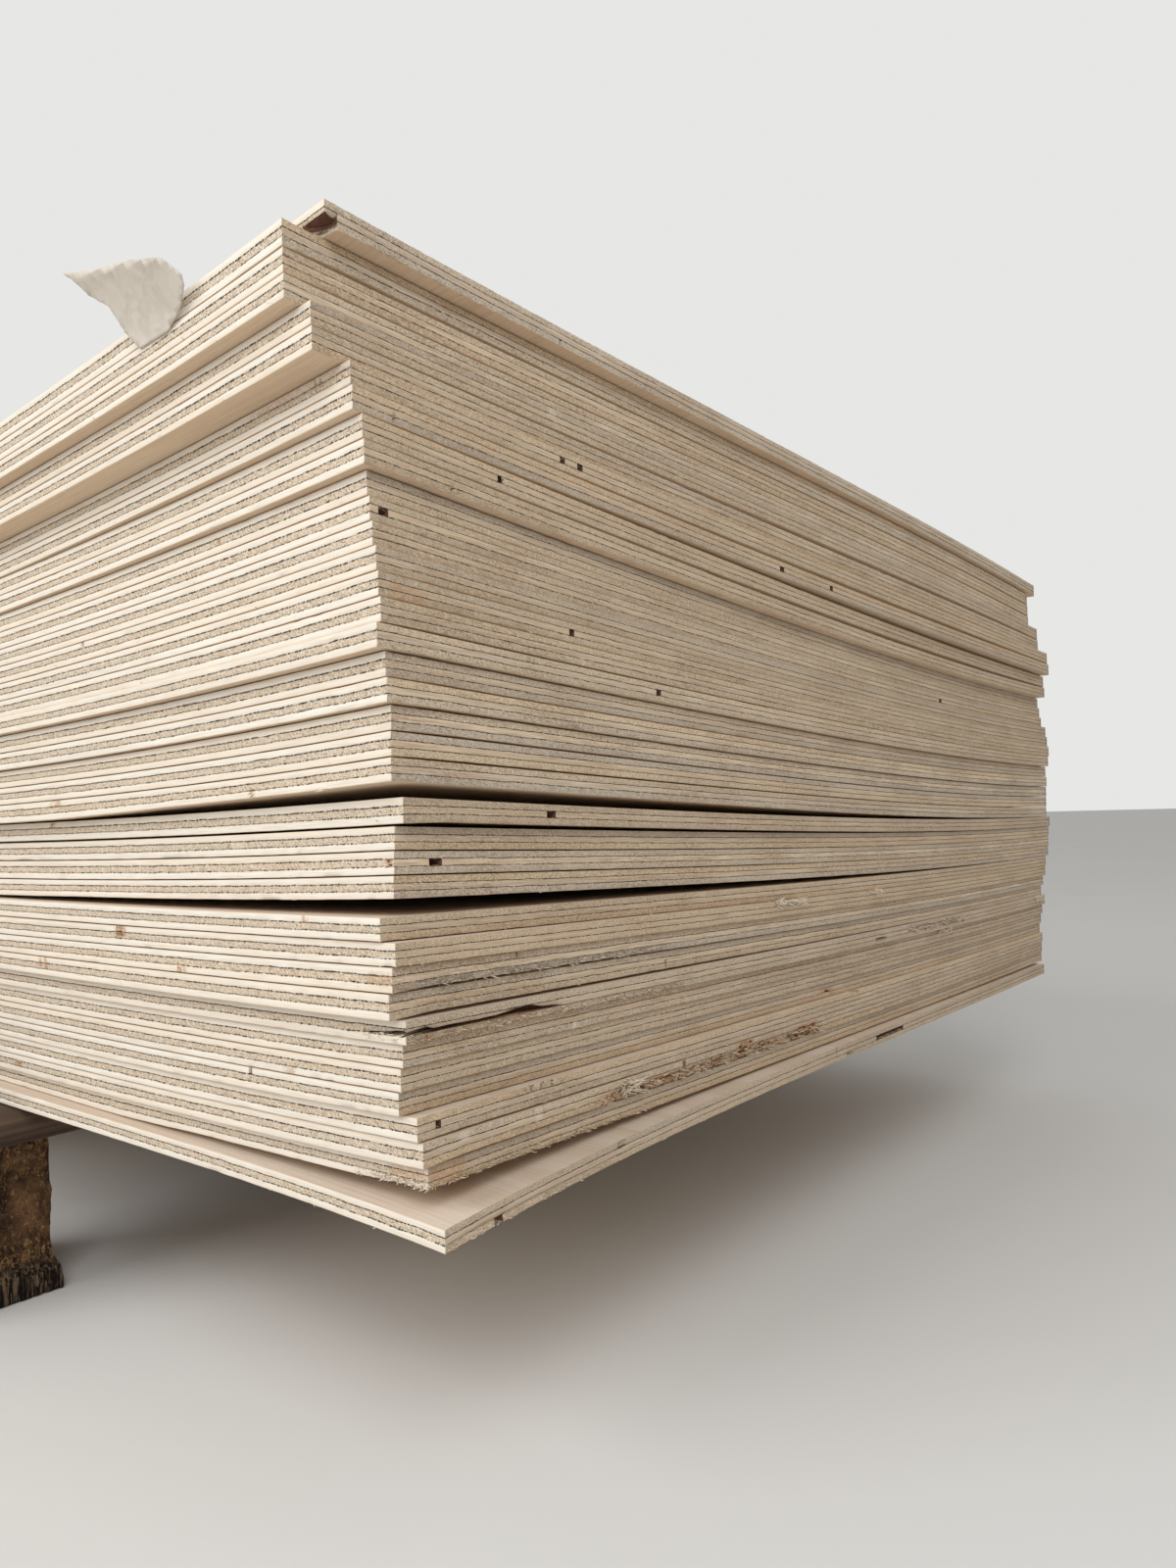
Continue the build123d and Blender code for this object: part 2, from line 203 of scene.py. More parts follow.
# Stains, knots and pale marks on edges, by side: sheet, from, to, lowest level, highest level,
# strength, which is below zero for a pale mark
RIGHT_STAINS = [
    (36, 104, 236, 0, 4.6, 0.6),
    (36, 138, 149, 0, 3.4, 1.3),
    (36, 205, 222, 0, 5.8, 1),
    (36, 236, 254, 0, 8.8, 1.3),
    (36, 258, 268, 0, 5.8, 1.3),
    (36, 298, 334, 0, 6.5, 1.1),
    (36, 222, 300, 0, 5.8, 0.6),
    (36, 66, 71, 3.3, 9, -0.35),
    (36, 20, 26, 5.7, 9, -0.35),
    (35, 62, 88, 8, 9, -0.4),
    (34, 350, 372, 3, 6, 0.6),
    (35, 384, 398, 8, 9, 0.8),
    (32, 102, 107, 0, 3, -0.6),
    (5, 130, 136, 5.7, 9, -0.35),
    (37, 0, 22, 0, 9, 0.5),
    (31, 4, 16, 0, 5, 0.7),
    (31, 16, 84, 2.6, 4.5, 0.5),
    (29, 0, 14, 0, 3, 0.4),
    (15, 5, 26, 0, 6, 0.35),
]
FRONT_STAINS = [
    (28, 210, 221, 4.5, 9, 0.9),
    (30, 296, 299.5, 3.3, 9, 0.8),
    (30, 303, 306.5, 3.3, 9, 0.8),
    (29, 150, 159, 0, 3, 0.8),
    (25, 1.5, 5.5, 3.3, 5.7, 1.2),
    (24, 105.2, 118.8, 3.3, 5.7, -0.4),
    (24, 103.8, 105.2, 3.3, 5.7, 0.7),
    (24, 118.8, 120.2, 3.3, 5.7, 0.7),
    (22, 278, 292, 6, 9, 0.6),
    (23, 303, 309, 6, 9, 0.8),
    (36, 355, 365, 3, 6, 0.8),
    (33, 70, 80, 0, 3, 0.5),
    (37, 0, 26, 2.6, 9, 0.45),
    (29, 0, 16, 2.7, 6.3, 0.35),
    (7, 0, 72, 6.3, 9, 0.5),
    (22, 92.6, 97, 0, 3, 0.9),
    (27, 47, 52.5, 6, 9, 0.6),
    (11, 103, 107, 3, 6, 0.6),
]
STAINS = {"right": RIGHT_STAINS, "front": FRONT_STAINS}

# Bundles of loose fibres: sheet, side, from, to, count, lowest and highest level, length,
# spread, paleness
FIBRES = [
    (29, "right", 0, 190, 190, 0, 1.7, 3, 0.4, 0.1),
    (31, "right", 0, 200, 150, 0, 2.2, 3, 0.3, 0.15),
    (31, "right", 0, 9, 20, 0.5, 3, 4, 0.4, 0.2),
    (31, "front", 0, 26, 30, 0.2, 3, 5, 0.3, 0.3),
    (36, "right", 104, 340, 420, 0, 4.8, 4, 0.6, 0.2),
    (36, "right", 130, 143, 56, 2, 8.8, 9, 1.4, 1),
    (37, "right", 0, 150, 160, 0, 2.5, 3, 0.4, 0.3),
    (37, "front", 0, 46, 90, 0, 3, 3, 0.45, 0.4),
    (38, "right", 0, 90, 60, 0, 1.2, 3, 0.2, 0.3),
    (28, "right", 290, 326, 110, 6.5, 9.5, 5, 0.9, 1),
    (28, "right", 416, 434, 60, 7, 9.2, 5, 0.8, 1),
    (31, "right", 480, 590, 120, 2, 8, 6, 0.5, 0.3),
    (22, "front", 36, 48, 5, 0, 0.4, 9, 0.4, 0.8),
    (9, "right", 75.6, 78, 24, 3.4, 5.8, 1.2, 0.4, 1),
    (32, "right", 540, 566, 90, 7, 9.2, 6, 0.8, 1),
    (31, "right", 772, 796, 60, 3, 8, 6, 0.6, 1),
    (35, "right", 62, 88, 40, 7.4, 9, 2.2, 0.5, 0.3),
    (35, "right", 0, 60, 20, 8.4, 9, 2.2, 0.3, 0.2),
]

# Fibres that every sheet has, without the sheet's number
STRAY_FIBRES = [
    ("right", 0.0, SHEET_WIDTH * 0.6, 20, 0.0, 0.6, 2.4, 0.3, 0.3),
    ("front", 0.0, SHEET_LENGTH * 0.5, 12, 0.0, 0.6, 2.0, 0.3, 0.3),
]

# Faces of one fibre: its foot, and four sides that run from the foot's ring over a second ring
# of points to the tip
FIBRE_FACES = [(3, 2, 1, 0)]
for corner, following in ((0, 1), (1, 2), (2, 3), (3, 0)):
    FIBRE_FACES.append((corner, following, 4 + following, 4 + corner))
    FIBRE_FACES.append((4 + corner, 4 + following, 8))

# Where the top sheet's lower plies broke away: outlines from the front edge to the right edge,
# and the heights that the rows get there
BROKEN_LOWER = [(-21.0, 0.0), (-8.5, 5.2), (0.0, 6.2)]
BROKEN_CORE = [(-14.0, 0.0), (-8.0, 3.6), (-3.0, 5.2), (0.0, 5.6)]
BROKEN_LEVELS = {3: 1.6, 4: 1.8, 5: 3.0, 6: 3.9, 7: 4.1, 8: 4.5}

# The sheet that is split along its lower glue line. The opening is widest at the corner and at
# two places with a width, a distance and a reach.
SPLIT_SHEET = 31
SPLIT_LENGTH = 92.0
SPLIT_DEPTH = 26.0
SPLIT_ROWS = (4, 5)
SPLIT_AT_CORNER = 1.1
SPLIT_WIDER = ((1.3, 7.0, 7.0), (2.1, 64.0, 15.0))
SPLIT_LIMITS = (0.2, 2.4)

# Depths by which an opening is coloured with painted shade: a lit hollow, and an inside painted dark as
# shade
LIT_HOLLOW = 0.4
SHADED_INSIDE = 6.0

# Order of the sides round a sheet, and a sheet's two material slots
RING = (("right", 1), ("back", 1), ("left", 1), ("front", -1))
EDGE_SLOT = 0
FACE_SLOT = 1

# Colour ramps and colours of the edges
CREAM = [(0.15, (0.80, 0.735, 0.63)), (0.5, (0.815, 0.77, 0.685)), (0.9, (0.79, 0.705, 0.585))]
STRAW = [(0.15, (0.73, 0.57, 0.40)), (0.5, (0.63, 0.53, 0.42)), (0.9, (0.80, 0.645, 0.465))]
BEIGE = [(0.1, (0.80, 0.675, 0.525)), (0.5, (0.75, 0.635, 0.50)), (0.95, (0.80, 0.655, 0.49))]
TAN = [
    (0.15, (0.60, 0.47, 0.335)),
    (0.35, (0.74, 0.61, 0.455)),
    (0.55, (0.57, 0.50, 0.41)),
    (0.75, (0.77, 0.61, 0.42)),
    (0.9, (0.65, 0.48, 0.31)),
]
PALE_FIBRE = (0.86, 0.77, 0.63)
GLUE = (0.03, 0.02, 0.014)
WARM_STAIN = (0.47, 0.22, 0.08)
DARK_ROT = (0.10, 0.032, 0.013)
# Painted shade inside voids, cuts and splits, reached at their deepest places
HOLE_SHADE = (0.10, 0.034, 0.018)

# Colours of the other pieces
VENEER_BELOW = [(0.3, (0.66, 0.49, 0.33)), (0.55, (0.70, 0.54, 0.38)), (0.75, (0.71, 0.56, 0.41))]
VENEER_ABOVE = [(0.3, (0.68, 0.58, 0.48)), (0.55, (0.70, 0.61, 0.51)), (0.75, (0.72, 0.61, 0.50))]
BOARD = [(0.3, (0.085, 0.055, 0.038)), (0.7, (0.16, 0.105, 0.07))]
BLOCK = [(0.38, (0.010, 0.006, 0.004)), (0.5, (0.050, 0.027, 0.014)), (0.66, (0.14, 0.075, 0.036))]
PAPER = [(0.35, (0.55, 0.485, 0.41)), (0.6, (0.65, 0.59, 0.515))]

# The rough blocks, in metres: where the foot ends, how far it spreads, and how finely the block
# at the near corner and the others are divided
BLOCK_FOOT = 0.020
BLOCK_WAIST = 0.005
NEAR_BLOCK = "block_right_front"
NEAR_CUTS = 44
OTHER_CUTS = 22

# The torn label: its outline as distance from the sheet's near corner and height above the foot
LABEL_SHEET = 3
LABEL_OUTLINE = [
    (109.0, 0.0),
    (115.0, 8.0),
    (117.0, 18.0),
    (125.0, 24.0),
    (128.0, 30.0),
    (131.0, 33.0),
    (119.0, 30.5),
    (87.0, 25.5),
    (67.0, 20.5),
    (59.5, 13.0),
    (61.5, 10.0),
    (70.0, 5.0),
    (85.0, 0.0),
]
LABEL_FOOT = 7.0
LABEL_LEAN = 18.0
LABEL_CURL = 6.0
LABEL_THICKNESS = 0.3
LABEL_CLEARANCE = 0.3
LABEL_STEP = 0.9
LABEL_TEAR = 0.35

# Lamps: place, target, size and power
LAMPS = {
    "key": ((-0.6, -3.0, 2.1), (0.1, 0.0, 0.25), 2.0, 58.0),
    "side": ((1.5, -1.25, 1.5), (0.5, -0.3, 0.3), 1.0, 14.5),
}
WORLD_COLOUR = (1.0, 0.985, 0.96, 1.0)
WORLD_STRENGTH = 0.56
BACKGROUND = (0.80, 0.80, 0.79, 1.0)


def held_row(table, number):
    """The row of a table that holds for a sheet, counted from the top."""
    return table[max(start for start in table if start <= number)]


def place_of(number):
    """Near corner and turn of a sheet."""
    start = max(first for first in SLIDES if first <= number)
    slide_x, slide_y, turn, creep = SLIDES[start]
    return HALF_LENGTH + slide_x + creep * (number - start), slide_y - HALF_WIDTH, math.radians(turn)


def all_heights():
    """Control heights of every sheet's underside, as in the CAD source."""
    field = np.full((FIELD_STEPS_X + 1, len(END_RISES)), REST_CLEARANCE)
    field[0] += END_RISES
    heights = {SHEET_COUNT: field.copy()}
    shares = np.array(OPENING_SHARES)
    for number in range(SHEET_COUNT - 1, 0, -1):
        field = field + SHEET_THICKNESS + np.array(held_row(GAPS, number))
        field[0] += CORNER_OPENINGS.get(number, 0.0) * shares
        field[1:] += held_row(EDGE_OPENINGS, number) * shares
        heights[number] = field
    return heights


def bernstein(steps, t):
    """Weights of a Bezier curve's control values, one column per value."""
    t = np.asarray(t, float)
    return np.stack([math.comb(steps, k) * t**k * (1 - t) ** (steps - k) for k in range(steps + 1)], -1)


def heights_at(number, x, y):
    """Height of a sheet's underside over points given as arrays."""
    u = (FIELD_LENGTH / 2 - x) / FIELD_LENGTH
    v = (y + FIELD_WIDTH / 2) / FIELD_WIDTH
    field = HEIGHTS[number]
    along_x = bernstein(field.shape[0] - 1, u)
    along_y = bernstein(field.shape[1] - 1, v)
    z = np.einsum("...i,ij,...j->...", along_x, field, along_y)
    if number == SHEET_COUNT:
        z = z - BOTTOM_DROOP * (1 - u) ** DROOP_STEPS_X * (1 - v) ** DROOP_STEPS_Y
    return z


def wander(rng, s, step, amount):
    """A smooth random walk along an edge, between 0 and amount."""
    count = int(max(s.max(), 1.0) / step) + 3
    knots = rng.uniform(0.0, 1.0, count)
    return np.interp(s / step, np.arange(count), knots) * amount


def graded(length, first, last, marks=()):
    """Places along an edge, close together at the near corner and wider farther away."""
    places = [0.0]
    while places[-1] < length:
        share = places[-1] / length
        places.append(places[-1] + first + (last - first) * share)
    places = np.array(places) * (length / places[-1])
    keep = [p for p in places if all(abs(p - mark) > 0.4 for mark in marks)]
    keep[0], keep[-1] = 0.0, length
    return np.array(sorted(keep + [m for m in marks if 0.3 < m < length - 0.3]))


def rows_of(table, number, side):
    """What a table says of one side of a sheet."""
    return [row[1:] for row in table.get(side, []) if row[0] == number]


def within(s, start, end, margin):
    """Which places along an edge lie between two others, give or take a margin."""
    return (s >= start - margin) & (s <= end + margin)


def edge_relief(rng, s, grain_along):
    """How far the sawn edge lies back at each place and level, and where the levels lie."""
    back = np.zeros((len(s), len(LEVELS)))
    back += sum(wander(rng, s, *walk) for walk in EDGE_WALKS)[:, None]
    plies = [sum(wander(rng, s, *walk) for walk in PLY_WALKS) for _ in range(3)]
    for row, level in enumerate(LEVELS):
        ply = min(int(level / PLY), 2)
        back[:, row] += plies[ply]
        if row in GLUE_ROWS:
            back[:, row] += GLUE_BACK + wander(rng, s, *GLUE_WALK)
        elif (ply == 1) == grain_along:
            back[:, row] += wander(rng, s, *END_GRAIN_WALK)
        else:
            back[:, row] += wander(rng, s, *LONG_GRAIN_WALK)
    for row in (0, len(LEVELS) - 1):
        torn = wander(rng, s, 5.0, 1.0) * wander(rng, s, 40.0, 1.0)
        back[:, row] += RIM_BACK + np.clip(torn - TORN_FROM, 0, 1) * TORN_DEPTH
    levels = np.tile(np.array(LEVELS), (len(s), 1))
    levels[:, 0] -= wander(rng, s, 7.0, BURR)
    for row in GLUE_ROWS:
        levels[:, row] += wander(rng, s, *GLUE_WAVE) - GLUE_WAVE[1] / 2
    return back, levels


def wounded(rng, number, side, s, back):
    """Adds the damage listed for one side of a sheet, and returns how deep each place looks, for the
    painted shade in the edge material.
    """
    deep = np.zeros_like(back)
    for start, end, low, high, depth, ragged in rows_of(WOUNDS, number, side):
        inside = within(s, start, end, 0.01)
        for row in range(low, high + 1):
            rough = 1 - ragged * wander(rng, s, 2.5, 1.0) * wander(rng, s, 11.0, 1.3)
            fade = 1.0
            if ragged > RAGGED:
                fade = np.clip((s - start + 8) / 20, 0, 1) * np.clip((end - s) / 25, 0, 1)
                rough = rough * (0.4 if row == high else 1.0)
            back[:, row] += np.where(inside, depth * np.clip(rough, 0, 1) * fade, 0.0)
            if ragged < CLEAN_CUT:
                deep[within(s, start, end, 0.2), row] = depth
    return np.maximum(deep, back)


def rough_voids(rng, number, side, s, levels):
    """Narrows the mouth of each void unevenly, so that it isn't a neat square."""
    for start, end, low, high, _, _ in rows_of(WOUNDS, number, side):
        if (low, high) != (CORE_ROWS[0], CORE_ROWS[-1]):
            continue
        inside = within(s, start, end, 0.01)
        to_end = np.minimum(s - start, end - s)[inside]
        pinch = np.clip(1 - to_end / 1.4, 0, 1)
        levels[inside, low] += 0.85 * pinch + rng.uniform(0.0, 0.45, inside.sum())
        levels[inside, high] -= 0.75 * pinch + rng.uniform(0.0, 0.35, inside.sum())


def stained(number, side, s, levels):
    """Strength of the brown stain at each place and level."""
    stain = np.zeros_like(levels)
    for start, end, low, high, strength in rows_of(STAINS, number, side):
        ends = np.clip(np.minimum(s - start, end - s) / (0.15 * (end - start)), 0, 1)
        inside = (levels >= low - BURR) & (levels <= high)
        mark = inside * ends[:, None] * strength
        stain = np.where(np.abs(mark) > np.abs(stain), mark, stain)
    return stain


def edge_places(number):
    """Where each side of a sheet is modelled along its length, with more places at damage."""
    marks = {"right": [], "front": []}
    for side, places in marks.items():
        for start, end, _, _, _, ragged in rows_of(WOUNDS, number, side):
            if ragged < RAGGED:
                places += [start - 0.3, start - 0.15, start + 0.15]
                places += [end - 0.15, end + 0.15, end + 0.3]
    return {
        "right": graded(SHEET_WIDTH, 1.1, 5.0, marks["right"]),
        "back": np.linspace(0, SHEET_LENGTH, 121),
        "left": np.linspace(0, SHEET_WIDTH, 81),
        "front": graded(SHEET_LENGTH, 1.1, 10.0, marks["front"]),
    }


def side_points(side, back, along):
    """Points of one side in the sheet's corner frame, by how far back and along it they lie."""
    if side == "right":
        return np.stack([-back, along], -1)
    if side == "back":
        return np.stack([-along, SHEET_WIDTH - back], -1)
    if side == "left":
        return np.stack([-SHEET_LENGTH + back, SHEET_WIDTH - along], -1)
    return np.stack([-along, back], -1)


def corner_pocket(parts, rows, outline, deep):
    """Hollows out some rows at the near corner, along an outline from the front to the right edge."""
    outline = np.array(outline)
    run = np.concatenate([[0.0], np.cumsum(np.linalg.norm(np.diff(outline, axis=0), axis=1))])
    for side, reach, sign in (("right", outline[-1][1], 1), ("front", -outline[0][0], -1)):
        part = parts[side]
        inside = part["s"] < reach
        at = run[-1] * (0.5 + 0.5 * sign * part["s"][inside] / reach)
        for row in rows:
            part["xy"][inside, row, 0] = np.interp(at, run, outline[:, 0])
            part["xy"][inside, row, 1] = np.interp(at, run, outline[:, 1])
            part["deep"][inside, row] = deep


def break_corner(rng, parts):
    """Breaks the lower plies out of the top sheet's near corner."""
    corner_pocket(parts, LOWER_ROWS, BROKEN_LOWER, LIT_HOLLOW)
    corner_pocket(parts, CORE_ROWS, BROKEN_CORE, SHADED_INSIDE)
    for side, reach in (("front", -BROKEN_CORE[0][0]), ("right", BROKEN_CORE[-1][1])):
        inside = parts[side]["s"] < reach
        parts[side]["deep"][inside, GLUE_ROWS[-1]] = SHADED_INSIDE
        for row, level in BROKEN_LEVELS.items():
            parts[side]["levels"][inside, row] = level + 0.15 * rng.uniform(-1, 1, inside.sum())
    parts["right"]["levels"][0] = parts["front"]["levels"][0]


def split_levels(rng, parts):
    """Moves the core's rows so that they line the ragged opening of the split sheet."""
    for side, reach in (("right", SPLIT_LENGTH), ("front", SPLIT_DEPTH)):
        part = parts[side]
        s = part["s"]
        inside = s < reach
        mouth = SPLIT_AT_CORNER * np.clip(1 - s / reach, 0, 1) ** 0.5
        for width, place, spread in SPLIT_WIDER:
            mouth = mouth + width * np.exp(-(((s - place) / spread) ** 2))
        opening = np.clip(mouth * (0.6 + wander(rng, s, 5.0, 0.8)), *SPLIT_LIMITS)
        rise = wander(rng, s, 12.0, 0.5)
        part["levels"][inside, 4] = (3.05 + rise * 0.4)[inside]
        part["levels"][inside, 5] = (3.1 + rise * 0.4 + opening)[inside]
        part["levels"][inside, 6] = (3.3 + rise * 0.4 + opening)[inside]


def join_corners(parts):
    """Gives both sides that meet at a corner the same corner line."""
    corners = [
        ("front", 0, "right", 0),
        ("right", -1, "back", 0),
        ("back", -1, "left", 0),
        ("left", -1, "front", -1),
    ]
    for side_a, end_a, side_b, end_b in corners:
        a, b = parts[side_a], parts[side_b]
        x_side, y_side = (b, a) if side_b in ("right", "left") else (a, b)
        x_end = end_b if x_side is b else end_a
        y_end = end_b if y_side is b else end_a
        joint = np.stack([x_side["xy"][x_end, :, 0], y_side["xy"][y_end, :, 1]], -1)
        a["xy"][end_a] = joint
        b["xy"][end_b] = joint
        b["levels"][end_b] = a["levels"][end_a]


def make_sheet(number):
    """One sheet: its four sawn edges with relief and damage, and both veneer faces."""
    rng = np.random.RandomState(EDGE_SEED + number)
    parts = {}
    for side, s in edge_places(number).items():
        back, levels = edge_relief(rng, s, side in ("front", "back"))
        deep = wounded(rng, number, side, s, back)
        rough_voids(rng, number, side, s, levels)
        to_corner = np.minimum(s, s[-1] - s)
        back = np.minimum(back, 0.15 + 0.6 * to_corner[:, None])
        stain = stained(number, side, s, levels)
        xy = side_points(side, back, np.tile(s[:, None], (1, len(LEVELS))))
        parts[side] = {"s": s, "xy": xy, "levels": levels, "deep": deep, "stain": stain}
    join_corners(parts)
    for part in parts.values():
        part["sag"] = edge_sag(number, part["xy"][:, 0])
    parts["right"]["sag"] *= np.clip(1 - parts["right"]["s"] / SAG_ROUND_CORNER, 0, 1)
    if number == 1:
        break_corner(rng, parts)
    if number == SPLIT_SHEET:
        split_levels(rng, parts)
        corner_pocket(parts, SPLIT_ROWS, [(-SPLIT_DEPTH, 0.0), (0.0, SPLIT_LENGTH)], SHADED_INSIDE)
    return mesh_from_parts(number, parts)


def in_row(number, xy):
    """Points of a sheet's corner frame in the frame of the sheets."""
    corner_x, corner_y, turn = place_of(number)
    x = corner_x + xy[..., 0] * math.cos(turn) - xy[..., 1] * math.sin(turn)
    y = corner_y + xy[..., 0] * math.sin(turn) + xy[..., 1] * math.cos(turn)
    return x, y


def edge_sag(number, xy):
    """How far a sheet's edge sags over a narrow gap, so that only a thin line stays open."""
    if number == SHEET_COUNT:
        return np.zeros(len(xy))
    x, y = in_row(number, xy)
    gap = heights_at(number, x, y) - heights_at(number + 1, x, y) - SHEET_THICKNESS
    return np.clip(gap - SEAM, 0, MOST_SAG) * np.clip((WIDE_GAP - gap) / GAP_FADE, 0, 1)


def to_world(number, xy, levels):
    """Points of a sheet's corner frame in the world, at heights above its underside."""
    x, y = in_row(number, xy)
    z = heights_at(number, x, y) + levels
    return (np.stack([x, y, z], -1) + SHIFT) * MM


class Surface:
    """A sheet's points and faces as they come, with the values that its materials read."""

    def __init__(self):
        self.points = []
        self.count = 0
        self.faces = []
        self.slots = []
        self.edge = []
        self.sheet = []

    def add_points(self, points):
        """Adds points, and returns the place of the first."""
        first = self.count
        self.points.append(points)
        self.count += len(points)
        return first

    def add_face(self, corners, slot, edge, sheet):
        """Adds a face, its material slot, and two values for each corner."""
        self.faces.append(corners)
        self.slots.append(slot)
        self.edge += edge
        self.sheet += sheet


def splinter(rng, s, level, length, spread, room):
    """Nine points of a fibre, as back, along and level, and how far along the edge it runs."""
    long = length * rng.uniform(0.35, 1.0)
    thick = rng.uniform(0.09, 0.22)
    outward = min(abs(rng.normal(0, spread)) * long, room)
    lift = rng.normal(-0.05, spread * 0.6) * long
    lift = float(np.clip(lift, -1.0 - level * 0.2, 3.0))
    ahead = rng.choice([-1, 1]) * long
    base = np.array([0.9, s, level])
    tip = np.array([-outward, s + ahead, level + lift])
    bend = (base + tip) / 2 + np.array([-0.3 * outward, 0.0, rng.normal(0, 0.25)])
    rings = []
    for spot, size in ((base, thick * 1.6), (bend, thick)):
        for side_a, side_b in ((-1, -1), (1, -1), (1, 1), (-1, 1)):
            rings.append(spot + np.array([side_a * size, 0.0, side_b * size]))
    return np.array([*rings, tip]), ahead


def add_fibres(number, surface):
    """Loose torn fibres on a sheet's edges, as thin closed splinters."""
    rng = np.random.RandomState(FIBRE_SEED + number)
    bundles = [row[1:] for row in FIBRES if row[0] == number] + STRAY_FIBRES
    room = 0.5 if number == SHEET_COUNT else 3.0
    for side, start, end, count, low, high, length, spread, pale in bundles:
        for _ in range(count):
            s = rng.uniform(start, end)
            level = rng.uniform(low, high)
            local, ahead = splinter(rng, s, level, length, spread, room)
            xy = side_points(side, local[:, 0], np.clip(local[:, 1], 0.2, None))
            first = surface.add_points(to_world(number, xy, local[:, 2]))
            edge = (s, 1.5 if low < 6 else 7.5, 0.0)
            sheet = (float(number), float(side == "right"), -pale)
            for face in FIBRE_FACES:
                corners = face if (ahead > 0) == (side == "right") else face[::-1]
                places = [first + corner for corner in corners]
                surface.add_face(places, EDGE_SLOT, [edge] * len(face), [sheet] * len(face))


def add_edges(number, parts, surface):
    """The four sawn edges as strips of faces. Returns the ring that they form, seen from above."""
    rows = len(LEVELS)
    total = sum(len(part["s"]) - 1 for part in parts.values())
    ring = []
    column = 0
    for side, step in RING:
        part = parts[side]
        count = len(part["s"])
        index = np.arange(count)[::step]
        sag = part["sag"][:, None] * (1 - part["levels"] / SHEET_THICKNESS)
        points = to_world(number, part["xy"], part["levels"] - sag)[index][:-1]
        surface.add_points(points.reshape(-1, 3))
        ring.append(part["xy"][index][:-1])
        grain = 0.0 if side in ("front", "back") else 1.0
        for place in range(count - 1):
            near, far = index[place], index[place + 1]
            here = (column + place) * rows
            there = ((column + place + 1) % total) * rows
            for row in range(rows - 1):
                corners = (here + row, there + row, there + row + 1, here + row + 1)
                edge, sheet = [], []
                for at in ((near, row), (far, row), (far, row + 1), (near, row + 1)):
                    edge.append((part["s"][at[0]], part["levels"][at], part["deep"][at]))
                    sheet.append((float(number), grain, part["stain"][at]))
                surface.add_face(corners, EDGE_SLOT, edge, sheet)
        column += count - 1
    return np.concatenate(ring)


def add_faces(number, ring, surface):
    """The lower and the upper veneer face, filled in between the edges."""
    total, rows = len(ring), len(LEVELS)
    inner_x = np.arange(-SHEET_LENGTH + 40, -30, 56.0)
    inner_y = np.arange(40, SHEET_WIDTH - 30, 60.0)
    inner = np.array([(x, y) for x in inner_x for y in inner_y])
    loop = [(k, (k + 1) % total) for k in range(total)]
    for row, upward in ((0, 0.0), (rows - 1, 1.0)):
        outline = [Vector(p) for p in ring[:, row]]
        found = delaunay_2d_cdt(outline + [Vector(p) for p in inner], loop, [], 1, 1e-6)
        base = surface.add_points(to_world(number, inner, np.full(len(inner), LEVELS[row])))
        origin = found[3]
        for face in found[2]:
            named = []
            for vertex in face:
                source = min(origin[vertex])
                named.append(source * rows + row if source < total else base + source - total)
            if len(set(named)) < 3:
                continue
            edge = [(upward, PLY * 1.5, 0.0)] * len(named)
            sheet = [(float(number), 0.0, 0.0)] * len(named)
            surface.add_face(named if upward else named[::-1], FACE_SLOT, edge, sheet)


def mesh_from_parts(number, parts):
    """Builds the closed mesh of one sheet from its four sides."""
    surface = Surface()
    ring = add_edges(number, parts, surface)
    add_fibres(number, surface)
    add_faces(number, ring, surface)
    mesh = bpy.data.meshes.new(f"sheet_{number:02d}")
    mesh.from_pydata(np.concatenate(surface.points).tolist(), [], surface.faces)
    mesh.polygons.foreach_set("material_index", surface.slots)
    for name, data in (("edge", surface.edge), ("sheet", surface.sheet)):
        values = np.array(data, float)
        mesh.attributes.new(name, "FLOAT_VECTOR", "CORNER").data.foreach_set("vector", values.ravel())
    rows = len(LEVELS)
    ends = np.empty(len(mesh.edges) * 2, int)
    mesh.edges.foreach_get("vertices", ends)
    ends = ends.reshape(-1, 2)
    on_rim = (ends < len(ring) * rows).all(1) & np.isin(ends % rows, (0, rows - 1)).all(1)
    on_rim &= (ends[:, 0] % rows) == (ends[:, 1] % rows)
    mesh.attributes.new("sharp_edge", "BOOLEAN", "EDGE").data.foreach_set("value", on_rim)
    mesh.update()
    return mesh


